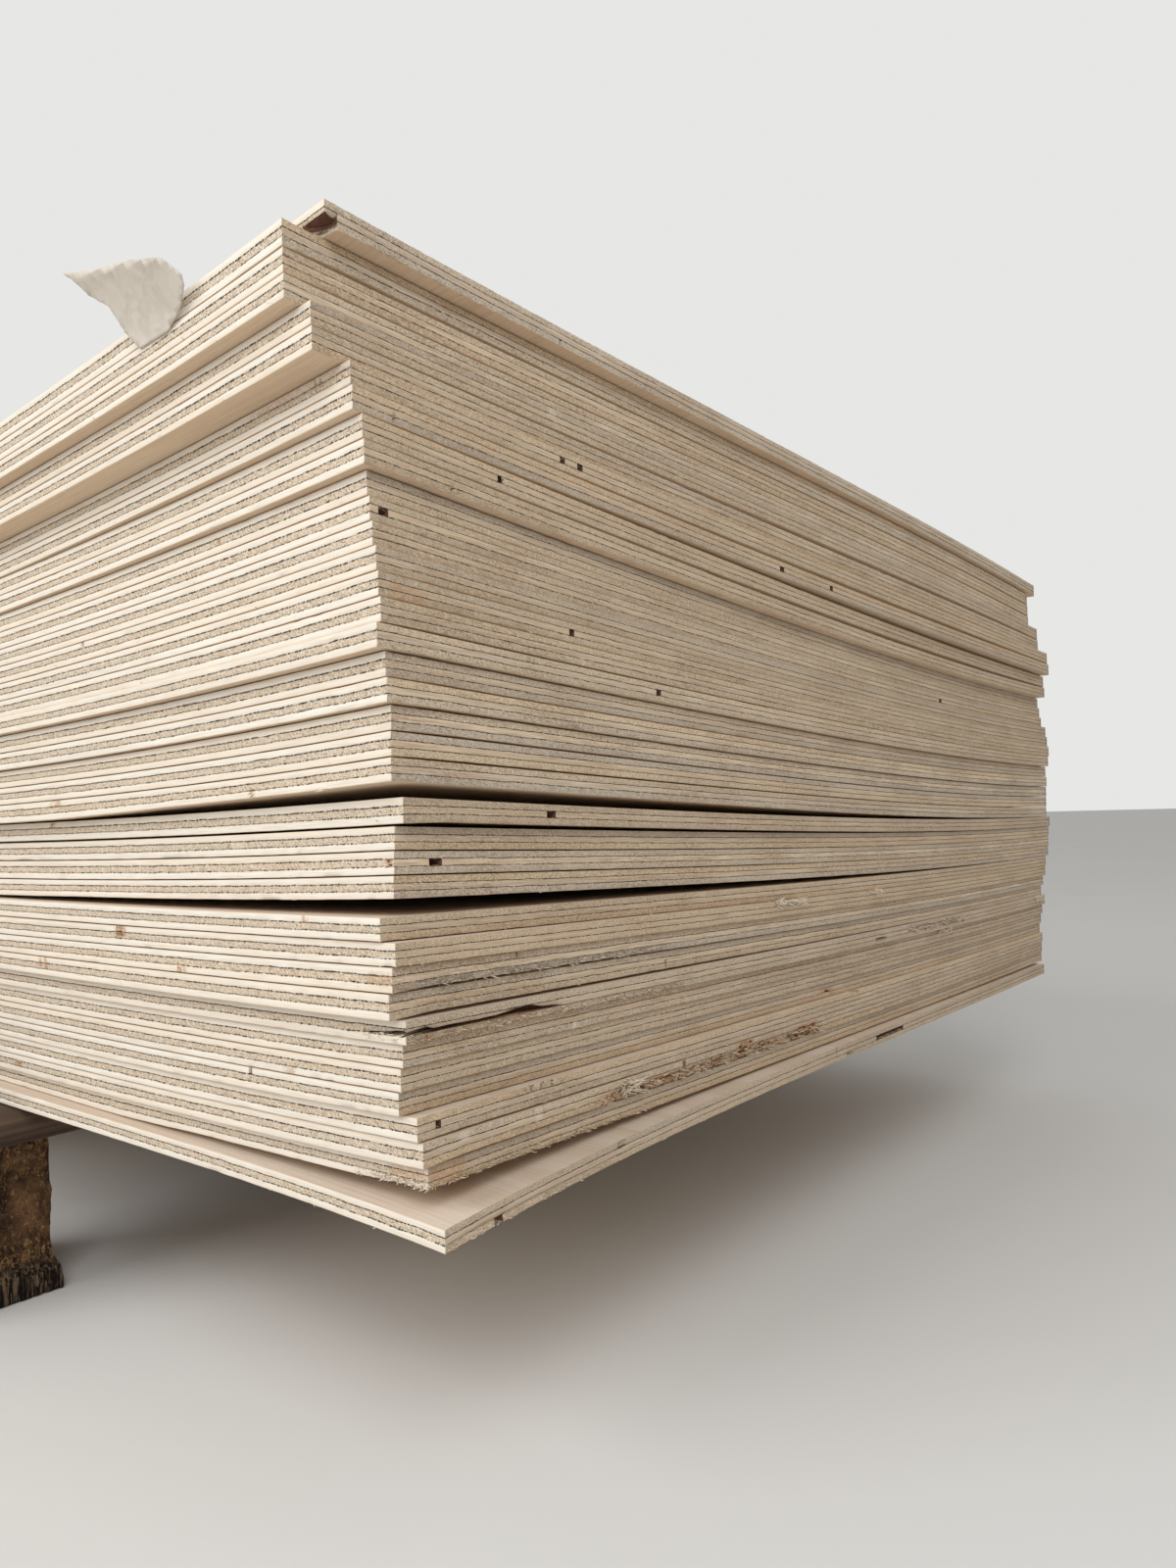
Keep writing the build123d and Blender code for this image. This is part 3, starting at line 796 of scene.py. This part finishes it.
class Nodes:
    """Short ways to add and link shader nodes."""

    def __init__(self, name):
        self.material = bpy.data.materials.new(name)
        self.material.use_nodes = True
        self.tree = self.material.node_tree
        self.shader = self.tree.nodes["Principled BSDF"]

    def add(self, kind, **settings):
        node = self.tree.nodes.new(kind)
        for key, value in settings.items():
            setattr(node, key, value)
        return node

    def put(self, source, target):
        """Links a socket, or sets a plain value."""
        if isinstance(source, bpy.types.NodeSocket):
            self.tree.links.new(source, target)
        else:
            target.default_value = source

    def math(self, operation, a, b=None, c=None, clamp=False):
        node = self.add("ShaderNodeMath", operation=operation, use_clamp=clamp)
        for place, value in enumerate((a, b, c)):
            if value is not None:
                self.put(value, node.inputs[place])
        return node.outputs[0]

    def scaled(self, vector, factors, shift=None):
        node = self.add("ShaderNodeVectorMath", operation="MULTIPLY")
        self.put(vector, node.inputs[0])
        node.inputs[1].default_value = factors
        if shift is None:
            return node.outputs[0]
        moved = self.add("ShaderNodeVectorMath", operation="ADD")
        self.put(node.outputs[0], moved.inputs[0])
        self.put(shift, moved.inputs[1])
        return moved.outputs[0]

    def times(self, value, factor):
        return self.math("MULTIPLY", value, factor)

    def times_plus(self, value, factor, more):
        return self.math("MULTIPLY_ADD", value, factor, more)

    def both(self, a, factor_a, b, factor_b):
        """Two values, each times its factor, added up."""
        return self.times_plus(a, factor_a, self.times(b, factor_b))

    def chance(self, seed):
        """A random value from 0 to 1 for each value of the seed."""
        node = self.add("ShaderNodeTexWhiteNoise", noise_dimensions="1D")
        self.put(seed, node.inputs["W"])
        return node.outputs["Value"]

    def spot(self):
        """The place on the object, in metres."""
        return self.add("ShaderNodeTexCoord").outputs["Object"]

    def noise(self, vector, detail=3.0, rough=0.55, distortion=0.0, scale=1.0):
        node = self.add("ShaderNodeTexNoise")
        self.put(vector, node.inputs["Vector"])
        node.inputs["Scale"].default_value = scale
        node.inputs["Detail"].default_value = detail
        node.inputs["Roughness"].default_value = rough
        node.inputs["Distortion"].default_value = distortion
        return node.outputs[0]

    def span(self, value, low, high, to_low=0.0, to_high=1.0, smooth=False):
        node = self.add("ShaderNodeMapRange", clamp=True)
        if smooth:
            node.interpolation_type = "SMOOTHSTEP"
        self.put(value, node.inputs["Value"])
        bounds = {"From Min": low, "From Max": high, "To Min": to_low, "To Max": to_high}
        for key, number in bounds.items():
            self.put(number, node.inputs[key])
        return node.outputs[0]

    def ramp(self, value, stops):
        node = self.add("ShaderNodeValToRGB")
        elements = node.color_ramp.elements
        while len(elements) < len(stops):
            elements.new(0.5)
        for element, (place, colour) in zip(elements, stops):
            element.position = place
            element.color = (*colour, 1.0)
        self.put(value, node.inputs[0])
        return node.outputs[0]

    def mix(self, share, a, b):
        node = self.add("ShaderNodeMix", data_type="RGBA")
        self.put(share, node.inputs[0])
        for value, place in ((a, 6), (b, 7)):
            self.put((*value, 1.0) if isinstance(value, tuple) else value, node.inputs[place])
        return node.outputs[2]

    def layers(self, colour, rows):
        """Lays tints over a colour. A row is a value, two bounds, the shares there and the tint."""
        for value, low, high, to_low, to_high, tint in rows:
            colour = self.mix(self.span(value, low, high, to_low, to_high), colour, tint)
        return colour

    def join(self, x, y, z):
        node = self.add("ShaderNodeCombineXYZ")
        for place, value in enumerate((x, y, z)):
            self.put(value, node.inputs[place])
        return node.outputs[0]

    def part(self, vector):
        node = self.add("ShaderNodeSeparateXYZ")
        self.put(vector, node.inputs[0])
        return node.outputs

    def attribute(self, name):
        return self.add("ShaderNodeAttribute", attribute_name=name).outputs["Vector"]

    def bump(self, height, strength, distance):
        node = self.add("ShaderNodeBump")
        node.inputs["Strength"].default_value = strength
        node.inputs["Distance"].default_value = distance
        self.put(height, node.inputs["Height"])
        self.tree.links.new(node.outputs[0], self.shader.inputs["Normal"])

    def finish(self, colour, roughness, specular=0.3):
        self.put(colour, self.shader.inputs["Base Color"])
        self.put(roughness, self.shader.inputs["Roughness"])
        self.shader.inputs["Specular IOR Level"].default_value = specular
        return self.material


def grain(n, place, along_scale, level_scale, detail, rough, distortion=0.0):
    """Noise over an edge, stretched along it and over its height."""
    along, level, seed = place
    vector = n.join(n.times(along, along_scale), n.times(level, level_scale), seed)
    return n.noise(vector, detail, rough, distortion)


def ply_colours(n, place, side, hue, streaks, specks):
    """Colours of the plies in long grain and in end grain."""
    along, level, seed = place
    slanted = n.both(level, 0.9, along, 0.35)
    crossed = n.both(level, -0.5, along, 0.9)
    curl = grain(n, (slanted, crossed, seed), 3.0, 0.5, 3.0, 0.6, 0.6)
    curly = n.span(n.noise(n.join(n.times(along, 0.011), seed, 3.0), 2.0), 0.46, 0.56)
    pits = grain(n, (n.both(level, 0.5, along, 0.9), level, seed), 1.0, 1.9, 3.0, 0.7, 1.0)
    across = n.both(level, 0.64, along, -0.77)
    upwards = n.both(level, 0.77, along, 0.64)
    strokes = grain(n, (across, upwards, seed), 1.7, 0.45, 3.0, 0.7, 0.5)
    cream = n.layers(n.ramp(hue, CREAM), [(streaks, 0.44, 0.66, 0.0, 0.6, (0.68, 0.53, 0.37))])
    straw = n.layers(n.ramp(hue, STRAW), [(streaks, 0.43, 0.60, 0.0, 0.7, (0.37, 0.25, 0.15))])
    straw_curl = n.times(n.span(curl, 0.48, 0.62), n.times(curly, 0.7))
    straw = n.mix(straw_curl, straw, (0.30, 0.19, 0.11))
    rough_end = n.layers(
        n.ramp(hue, BEIGE),
        [
            (strokes, 0.47, 0.60, 0.0, 0.7, (0.42, 0.31, 0.20)),
            (specks, 0.52, 0.64, 0.0, 0.45, (0.36, 0.26, 0.165)),
            (strokes, 0.30, 0.42, 0.7, 0.0, PALE_FIBRE),
            (pits, 0.57, 0.62, 0.0, 0.85, (0.07, 0.05, 0.035)),
        ],
    )
    fine_end = n.layers(
        n.ramp(hue, TAN),
        [
            (specks, 0.47, 0.63, 0.0, 0.8, (0.22, 0.145, 0.085)),
            (specks, 0.30, 0.43, 0.75, 0.0, (0.86, 0.74, 0.56)),
            (pits, 0.60, 0.66, 0.0, 0.7, (0.12, 0.08, 0.055)),
        ],
    )
    end_curl = n.times(n.span(curl, 0.50, 0.62), n.times(curly, 0.7))
    fine_end = n.mix(end_curl, fine_end, (0.24, 0.15, 0.09))
    return n.mix(side, cream, straw), n.mix(side, rough_end, fine_end)


def glue_lines(n, place, side):
    """How strongly the dashed glue lines show."""
    along, level, seed = place
    wobble = n.noise(n.join(n.times(along, 0.10), seed, 0.0))
    shifted = n.math("ADD", level, n.span(wobble, 0.3, 0.7, -0.2, 0.2))
    to_low = n.math("ABSOLUTE", n.math("SUBTRACT", shifted, PLY))
    to_high = n.math("ABSOLUTE", n.math("SUBTRACT", shifted, 2 * PLY))
    to_glue = n.math("MINIMUM", to_low, to_high)
    upper = n.math("GREATER_THAN", level, 1.5 * PLY)
    line_seed = n.times_plus(upper, 3.3, seed)
    pace = n.times(along, n.times_plus(side, -0.35, 0.75))
    dash = n.noise(n.join(n.times_plus(level, 0.6, pace), line_seed, 0.0), 4.0, 0.8)
    swell = n.noise(n.join(n.times(along, 1.1), line_seed, 4.0), 3.0, 0.7)
    reach = n.times(n.span(swell, 0.40, 0.66, 0.13, 0.40), n.times_plus(side, -0.55, 1.30))
    line = n.span(n.math("DIVIDE", to_glue, reach), 0.7, 1.0, 1.0, 0.0)
    scarce = n.times_plus(side, -0.05, n.times_plus(upper, -0.04, 0.51))
    present = n.span(n.math("SUBTRACT", dash, scarce), -0.02, 0.02, 0.15, 1.0)
    return n.times(line, present)


def edge_material():
    """Sawn edges: three plies, long grain and end grain, dashed dark glue lines, painted shade along
    the rims of each sheet and inside holes.
    """
    n = Nodes("plywood_edge")
    along, level, deep = n.part(n.attribute("edge"))
    number, side, stain = n.part(n.attribute("sheet"))
    seed = n.both(number, 37.7, side, 11.3)
    place = (along, level, seed)
    ply = n.math("FLOOR", n.times(level, 0.9999 / PLY))
    core = n.math("COMPARE", ply, 1.0, 0.4)
    end_grain = n.math("COMPARE", core, n.math("SUBTRACT", 1.0, side), 0.5)
    ply_seed = n.math("ADD", seed, n.times(ply, 5.17))
    slow = n.noise(n.join(n.times(along, 0.006), ply_seed, 0.0), 2.0)
    hue = n.math("ADD", n.times(n.chance(ply_seed), 0.7), n.times(slow, 0.35))
    streaks = grain(n, place, 0.05, 2.6, 5.0, 0.65)
    specks = grain(n, place, 1.1, 1.5, 4.0, 0.75, 0.8)
    long_colour, end_colour = ply_colours(n, place, side, hue, streaks, specks)
    colour = n.mix(end_grain, long_colour, end_colour)
    whole = n.chance(n.times(number, 7.7))
    tone = n.times(n.span(whole, 0.2, 1.0, 0.0, 0.36), side)
    colour = n.mix(tone, colour, (0.43, 0.315, 0.20))
    glue = glue_lines(n, place, side)
    colour = n.mix(n.times(glue, 0.97), colour, GLUE)
    # Painted shade: a brown tint within about 0.35 mm of each sheet's lower and upper rim stands for
    # the shade in the seams between sheets
    to_middle = n.math("ABSOLUTE", n.math("SUBTRACT", level, PLY * 1.5))
    rim = n.math("SUBTRACT", PLY * 1.5, to_middle)
    colour = n.layers(colour, [(rim, -0.1, 0.35, 0.5, 0.0, (0.47, 0.29, 0.16))])
    rot = grain(n, place, 0.35, 0.7, 4.0, 0.65, 0.8)
    brown = n.math("MAXIMUM", stain, 0.0)
    warm = n.math("MULTIPLY", n.span(rot, 0.40, 0.54, 0.1, 1.0), brown, clamp=True)
    colour = n.mix(n.times(warm, 0.9), colour, WARM_STAIN)
    dark = n.times(n.span(rot, 0.48, 0.54), n.span(brown, 0.5, 1.1))
    colour = n.mix(dark, colour, DARK_ROT)
    pale = n.times(n.math("MAXIMUM", n.times(stain, -1.0), 0.0), 0.85)
    colour = n.mix(pale, colour, PALE_FIBRE)
    # Painted shade: places more than 2.4 mm deep darken towards the shade colour of holes
    colour = n.layers(colour, [(deep, 2.4, 5.0, 0.0, 0.95, HOLE_SHADE)])
    height = n.times_plus(specks, n.times(end_grain, 0.9), n.times(streaks, 0.35))
    height = n.times_plus(glue, -0.7, n.times_plus(rot, brown, height))
    n.bump(height, 0.85, 0.0005)
    return n.finish(colour, 0.8, 0.2)


def face_material():
    """Rotary-cut veneer: long streaks and flames along the sheet, tan and faintly pink."""
    n = Nodes("plywood_face")
    number, _, _ = n.part(n.attribute("sheet"))
    upward, _, _ = n.part(n.attribute("edge"))
    shift = n.join(n.times(number, 1.37), n.times(number, 0.61), 0.0)
    where = n.scaled(n.spot(), (1.0, 1.0, 0.0), shift)
    flames = n.noise(n.scaled(where, (1.1, 8.0, 1.0)), 2.0, 0.5, 0.6)
    rings = n.span(n.math("SINE", n.times(flames, 42.0)), -0.2, 1.0, smooth=True)
    fibres = n.noise(n.scaled(where, (11.0, 620.0, 1.0)), 4.0, 0.6)
    pores = n.noise(n.scaled(where, (60.0, 2100.0, 1.0)), 2.0, 0.6)
    blotch = n.noise(n.scaled(where, (2.0, 4.0, 1.0)), 3.0, 0.5)
    colour = n.mix(upward, n.ramp(blotch, VENEER_BELOW), n.ramp(blotch, VENEER_ABOVE))
    colour = n.mix(n.times(rings, 0.26), colour, (0.53, 0.37, 0.235))
    colour = n.layers(
        colour,
        [
            (fibres, 0.45, 0.72, 0.0, 0.38, (0.45, 0.31, 0.19)),
            (pores, 0.60, 0.72, 0.0, 0.4, (0.36, 0.24, 0.15)),
        ],
    )
    n.bump(n.times_plus(rings, 0.3, fibres), 0.3, 0.0003)
    return n.finish(colour, 0.6, 0.3)


def board_material():
    """Dark weathered board with grain lines along its length."""
    n = Nodes("dark_board")
    spot = n.spot()
    lines = n.noise(n.scaled(spot, (260.0, 6.0, 260.0)), 4.0, 0.6, 0.3)
    patches = n.noise(n.scaled(spot, (18.0, 5.0, 18.0)))
    colour = n.layers(n.ramp(patches, BOARD), [(lines, 0.4, 0.7, 0.0, 0.7, (0.035, 0.022, 0.016))])
    n.bump(lines, 0.6, 0.0008)
    return n.finish(colour, 0.8, 0.25)


def block_material():
    """Rough dark brown wood with yellowish flecks, greyer at the crumbly foot, with painted highlights
    along the foot's ledge and the top edge.
    """
    n = Nodes("rough_block")
    spot = n.spot()
    _, _, height = n.part(spot)
    flecks = n.noise(n.scaled(spot, (420.0, 420.0, 300.0)), 4.0, 0.7, 0.8)
    patches = n.noise(n.scaled(spot, (45.0, 45.0, 30.0)), 4.0, 0.65, 0.6)
    grooves = n.noise(n.scaled(spot, (760.0, 760.0, 45.0)), 4.0, 0.7)
    # Painted highlights: light bands along the top of the foot's ledge and along the block's top edge,
    # where they would catch the light, added to the yellowish flecks
    rim = n.times(n.span(height, 0.018, 0.021), n.span(height, 0.024, 0.034, 1.0, 0.0))
    top_edge_highlight = n.span(height, 0.0855, 0.0885)
    flecks_and_highlights = n.times_plus(n.math("MAXIMUM", rim, top_edge_highlight), 0.09, flecks)
    colour = n.layers(
        n.ramp(patches, BLOCK),
        [
            (flecks_and_highlights, 0.54, 0.68, 0.0, 0.7, (0.33, 0.19, 0.085)),
            (flecks, 0.32, 0.45, 0.75, 0.0, (0.012, 0.007, 0.005)),
        ],
    )
    foot = n.span(height, 0.015, 0.024, 1.0, 0.0, smooth=True)
    foot_colour = n.mix(n.span(grooves, 0.46, 0.60), (0.006, 0.004, 0.003), (0.17, 0.115, 0.072))
    colour = n.mix(foot, colour, foot_colour)
    n.bump(n.both(flecks, 0.8, n.times(grooves, foot), 1.5), 0.9, 0.0015)
    return n.finish(colour, 0.9, 0.15)


def paper_material():
    """Matt white paper with faint creases."""
    n = Nodes("torn_paper")
    spot = n.spot()
    creases = n.noise(n.scaled(spot, (90.0, 90.0, 90.0)), 3.0, 0.5, 1.2)
    fibres = n.noise(spot, 2.0, scale=2500.0)
    colour = n.mix(n.times(fibres, 0.12), n.ramp(creases, PAPER), (0.62, 0.60, 0.57))
    n.bump(creases, 0.3, 0.0006)
    return n.finish(colour, 0.75, 0.2)


def placed(name, data):
    """A new object in the scene."""
    thing = bpy.data.objects.new(name, data)
    bpy.context.scene.collection.objects.link(thing)
    return thing


def add_piece(name, mesh, materials, node):
    """Puts a mesh in the scene for a CAD node."""
    piece = placed(name, mesh)
    for material in materials:
        mesh.materials.append(material)
    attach(piece, "root")
    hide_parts(node)


def smooth(mesh):
    """Shades a mesh smooth."""
    mesh.polygons.foreach_set("use_smooth", np.ones(len(mesh.polygons), bool))
    return mesh


def closed(bm, mesh):
    """Puts an edited form into its mesh, shaded smooth."""
    bm.to_mesh(mesh)
    bm.free()
    return smooth(mesh)


def make_sheets(materials):
    """All sheets, each in place of its CAD node."""
    for number in range(1, SHEET_COUNT + 1):
        mesh = smooth(make_sheet(number))
        add_piece(f"veneered_sheet_{number:02d}", mesh, materials, f"plywood_sheet_{number:02d}")


def make_block(node, cuts):
    """A rough crumbly block in place of a CAD block, with a spreading grooved foot."""
    low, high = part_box(node)
    size = high - low
    mesh = bpy.data.meshes.new(f"crumbly_{node}")
    bm = bmesh.new()
    bmesh.ops.create_cube(bm, size=1.0)
    bmesh.ops.subdivide_edges(bm, edges=bm.edges, cuts=cuts, use_grid_fill=True)
    for vertex in bm.verts:
        unit = vertex.co.copy()
        z = (unit.z + 0.5) * size.z
        waist = BLOCK_WAIST
        if z <= BLOCK_FOOT:
            waist *= max(0.0, (z - BLOCK_FOOT * 0.6) / (BLOCK_FOOT * 0.4))
        x = unit.x * (size.x - 2 * waist)
        y = unit.y * (size.y - 2 * waist)
        spot = Vector((low.x + size.x / 2 + x, low.y + size.y / 2 + y, low.z + z))
        rough = noise.fractal(spot * 60, 0.9, 2.1, 5)
        fine = noise.noise(Vector((spot.x * 400, spot.y * 400, spot.z * 25)))
        depth = max(0.0, 0.0016 + 0.0016 * rough + (0.0012 if z < BLOCK_FOOT else 0.0005) * fine)
        for axis in (0, 1):
            if abs(unit[axis]) > 0.499:
                spot[axis] -= math.copysign(depth, unit[axis])
        if z > size.z - 0.0005 and max(abs(unit.x), abs(unit.y)) > 0.499:
            spot.z -= 0.0006
        vertex.co = spot
    return closed(bm, mesh)


def make_board(node):
    """A worn board in place of a CAD runner, its corners rounded and its faces uneven."""
    low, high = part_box(node)
    size = high - low
    mesh = bpy.data.meshes.new(f"worn_{node}")
    bm = bmesh.new()
    bmesh.ops.create_cube(bm, size=1.0)
    bmesh.ops.scale(bm, vec=size, verts=bm.verts)
    bmesh.ops.bevel(bm, geom=bm.edges, offset=0.0016, segments=2, affect="EDGES")
    long_edges = [e for e in bm.edges if abs((e.verts[0].co - e.verts[1].co).y) > 0.5]
    bmesh.ops.subdivide_edges(bm, edges=long_edges, cuts=90, use_grid_fill=True)
    middle = (low + high) / 2
    for vertex in bm.verts:
        spot = vertex.co + middle
        wear = abs(noise.noise(Vector((spot.x * 20, spot.y * 6, spot.z * 30)))) * 0.0007
        spot.x -= math.copysign(wear, vertex.co.x)
        vertex.co = spot
    return closed(bm, mesh)


def front_reach(x):
    """How far the sheets round the label's foot reach towards -Y at one place along X."""
    reaches = []
    for number in range(LABEL_SHEET - 1, LABEL_SHEET + 2):
        corner_x, corner_y, turn = place_of(number)
        reaches.append(corner_y - (corner_x - x) * math.tan(turn))
    return min(reaches)


def torn_outline(rng):
    """The label's outline in short steps, ragged but for its foot."""
    outline = []
    for (a0, u0), (a1, u1) in zip(LABEL_OUTLINE, LABEL_OUTLINE[1:] + LABEL_OUTLINE[:1]):
        length = math.hypot(a1 - a0, u1 - u0)
        out_a, out_u = (u1 - u0) / length, -(a1 - a0) / length
        count = max(2, int(length / LABEL_STEP))
        for step in range(count):
            share = step / count
            ragged = rng.uniform(0, LABEL_TEAR) if u0 + u1 > 0 else 0.0
            a = a0 + (a1 - a0) * share + out_a * ragged
            outline.append((a, u0 + (u1 - u0) * share + out_u * ragged))
    return outline


def curled(s, t, first_y, last_y):
    """Place along Y on the smooth curl, by the shares along the foot and up to the top."""
    bulge, rise = 2 * (1 - t) * t, t * t
    ends = bulge * (LABEL_LEAN * 0.25 + LABEL_CURL * 0.5) + rise * (LABEL_LEAN + LABEL_CURL)
    centre = bulge * LABEL_LEAN * 0.25 + rise * LABEL_LEAN
    y_first, y_last = first_y - ends, last_y - ends
    y_middle = (first_y + last_y) / 2 - centre
    return (1 - s) ** 2 * y_first + 2 * s * (1 - s) * y_middle + s * s * y_last


def creased(y, along, up):
    """The same place, moved by the label's fold, its flap above the fold, and its crease."""
    fold = abs(up - 24.5 - (along - 85.0) * 0.14)
    crease = abs(along - 104.0 - up * 0.75)
    flap = max(0.0, up - 25.5 - (along - 85.0) * 0.14)
    y += 1.1 * flap - 0.5 * math.exp(-((fold / 1.6) ** 2)) * min(1.0, up / 10)
    return y + 0.8 * math.exp(-((crease / 1.3) ** 2)) * max(0.0, 1 - up / 16) * min(1.0, up / 3)


def make_label():
    """The torn label: a curled sheet of paper with ragged edges."""
    corner_x, corner_y, _ = place_of(LABEL_SHEET)
    nearest = min(along for along, _ in LABEL_OUTLINE)
    farthest = max(along for along, _ in LABEL_OUTLINE)
    top = max(up for _, up in LABEL_OUTLINE)
    first_x, last_x = corner_x - nearest, corner_x - farthest
    first_y, last_y = (front_reach(x) - LABEL_CLEARANCE for x in (first_x, last_x))
    underside = heights_at(LABEL_SHEET, np.array((first_x + last_x) / 2), np.array(corner_y))
    low = float(underside) + LABEL_FOOT
    outline = torn_outline(np.random.RandomState(LABEL_SEED))
    inside = [(a, u) for a in np.arange(60, 132, 2.5) for u in np.arange(1, 33, 2.5)]
    points = [Vector(p) for p in outline + inside]
    loop = [(k, (k + 1) % len(outline)) for k in range(len(outline))]
    found = delaunay_2d_cdt(points, loop, [], 1, 1e-5)
    front, behind = [], []
    for along, up in found[0]:
        y = curled((along - nearest) / (farthest - nearest), up / top, first_y, last_y)
        spot = np.array([corner_x - along, creased(y, along, up), low + up]) + SHIFT
        front.append((spot - np.array([0, LABEL_THICKNESS, 0])) * MM)
        behind.append(spot * MM)
    count = len(front)
    faces = [tuple(face) for face in found[2]]
    pairs = dict.fromkeys(pair for face in faces for pair in zip(face, face[1:] + face[:1]))
    rim = [(a, b) for a, b in pairs if (b, a) not in pairs]
    back_faces = [tuple(corner + count for corner in reversed(face)) for face in faces]
    sides = [(b, a, a + count, b + count) for a, b in rim]
    mesh = bpy.data.meshes.new("curled_label")
    mesh.from_pydata([tuple(p) for p in front + behind], [], faces + back_faces + sides)
    mesh.update()
    bm = bmesh.new()
    bm.from_mesh(mesh)
    bmesh.ops.recalc_face_normals(bm, faces=bm.faces)
    return closed(bm, mesh)


def make_camera():
    """The camera at the photograph's viewing angle."""
    azimuth, elevation, roll = map(math.radians, (CAMERA_AZIMUTH, CAMERA_ELEVATION, CAMERA_ROLL))
    level = math.cos(elevation)
    ahead = Vector((math.sin(azimuth) * level, math.cos(azimuth) * level, math.sin(elevation)))
    level_right = ahead.cross(Vector((0, 0, 1))).normalized()
    level_up = level_right.cross(ahead)
    right = level_right * math.cos(roll) + level_up * math.sin(roll)
    up = right.cross(ahead)
    data = bpy.data.cameras.new("photo_camera")
    data.lens = CAMERA_LENS
    data.sensor_width = 36.0
    data.clip_start = 0.01
    camera = placed("photo_camera", data)
    place = (Vector(CAMERA_PLACE) + Vector(SHIFT)) * MM
    turn = Matrix((right, up, -ahead)).transposed().to_4x4()
    camera.matrix_world = Matrix.Translation(place) @ turn
    bpy.context.scene.camera = camera


def area_light(name, place, target, size, power):
    """A soft square lamp."""
    data = bpy.data.lights.new(name, "AREA")
    data.size = size
    data.energy = power
    aim = (Vector(target) - Vector(place)).to_track_quat("-Z", "Y")
    placed(name, data).matrix_world = Matrix.Translation(place) @ aim.to_matrix().to_4x4()


def make_floor():
    """A pale floor, just under the object."""
    n = Nodes("studio_floor")
    colour = n.mix(n.noise(n.spot(), scale=3.0), (0.66, 0.66, 0.65), (0.70, 0.70, 0.69))
    mesh = bpy.data.meshes.new("studio_floor")
    bm = bmesh.new()
    bmesh.ops.create_circle(bm, cap_ends=True, segments=96, radius=30.0)
    bm.to_mesh(mesh)
    bm.free()
    mesh.materials.append(n.finish(colour, 0.85, 0.1))
    floor = placed("studio_floor", mesh)
    floor.location.z = -0.0005


def make_world():
    """Soft light from all round, and a pale background for the camera and for reflections."""
    world = bpy.data.worlds.new("studio")
    world.use_nodes = True
    tree = world.node_tree
    light = tree.nodes["Background"]
    light.inputs[0].default_value = WORLD_COLOUR
    light.inputs[1].default_value = WORLD_STRENGTH
    seen = tree.nodes.new("ShaderNodeBackground")
    seen.inputs[0].default_value = BACKGROUND
    seen.inputs[1].default_value = 1.0
    path = tree.nodes.new("ShaderNodeLightPath")
    share = path.outputs["Is Camera Ray"]
    for ray in ("Is Glossy Ray", "Is Transmission Ray"):
        either = tree.nodes.new("ShaderNodeMath")
        either.operation = "MAXIMUM"
        tree.links.new(share, either.inputs[0])
        tree.links.new(path.outputs[ray], either.inputs[1])
        share = either.outputs[0]
    blend = tree.nodes.new("ShaderNodeMixShader")
    for source, target in zip((share, light.outputs[0], seen.outputs[0]), blend.inputs):
        tree.links.new(source, target)
    tree.links.new(blend.outputs[0], tree.nodes["World Output"].inputs[0])
    bpy.context.scene.world = world


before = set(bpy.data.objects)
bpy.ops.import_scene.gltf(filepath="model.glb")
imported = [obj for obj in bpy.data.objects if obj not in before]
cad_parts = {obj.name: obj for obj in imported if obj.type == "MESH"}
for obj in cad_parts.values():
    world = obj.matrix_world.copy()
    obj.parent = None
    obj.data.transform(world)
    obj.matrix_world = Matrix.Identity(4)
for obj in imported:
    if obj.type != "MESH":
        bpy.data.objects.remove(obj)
bpy.context.scene.view_settings.view_transform = "Standard"
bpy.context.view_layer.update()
HEIGHTS = all_heights()
runner_end = np.array(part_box("runner_board_right")[1])
runner_corner = np.array([HALF_LENGTH - RUNNER_INSET, HALF_WIDTH + RUNNER_OVERHANG, 0.0])
SHIFT = runner_end / MM - runner_corner

make_camera()
make_floor()
make_world()
for lamp_name, lamp in LAMPS.items():
    area_light(lamp_name, *lamp)
make_sheets([edge_material(), face_material()])
rough = block_material()
for side_name in ("left", "right"):
    for place_name in ("front", "middle", "back"):
        node = f"block_{side_name}_{place_name}"
        cuts = NEAR_CUTS if node == NEAR_BLOCK else OTHER_CUTS
        add_piece(f"crumbly_{node}", make_block(node, cuts), [rough], node)
dark = board_material()
for side_name in ("left", "right"):
    node = f"runner_board_{side_name}"
    add_piece(f"worn_{node}", make_board(node), [dark], node)
add_piece("curled_label", make_label(), [paper_material()], "torn_label")

bpy.context.view_layer.update()
bpy.context.view_layer.update()
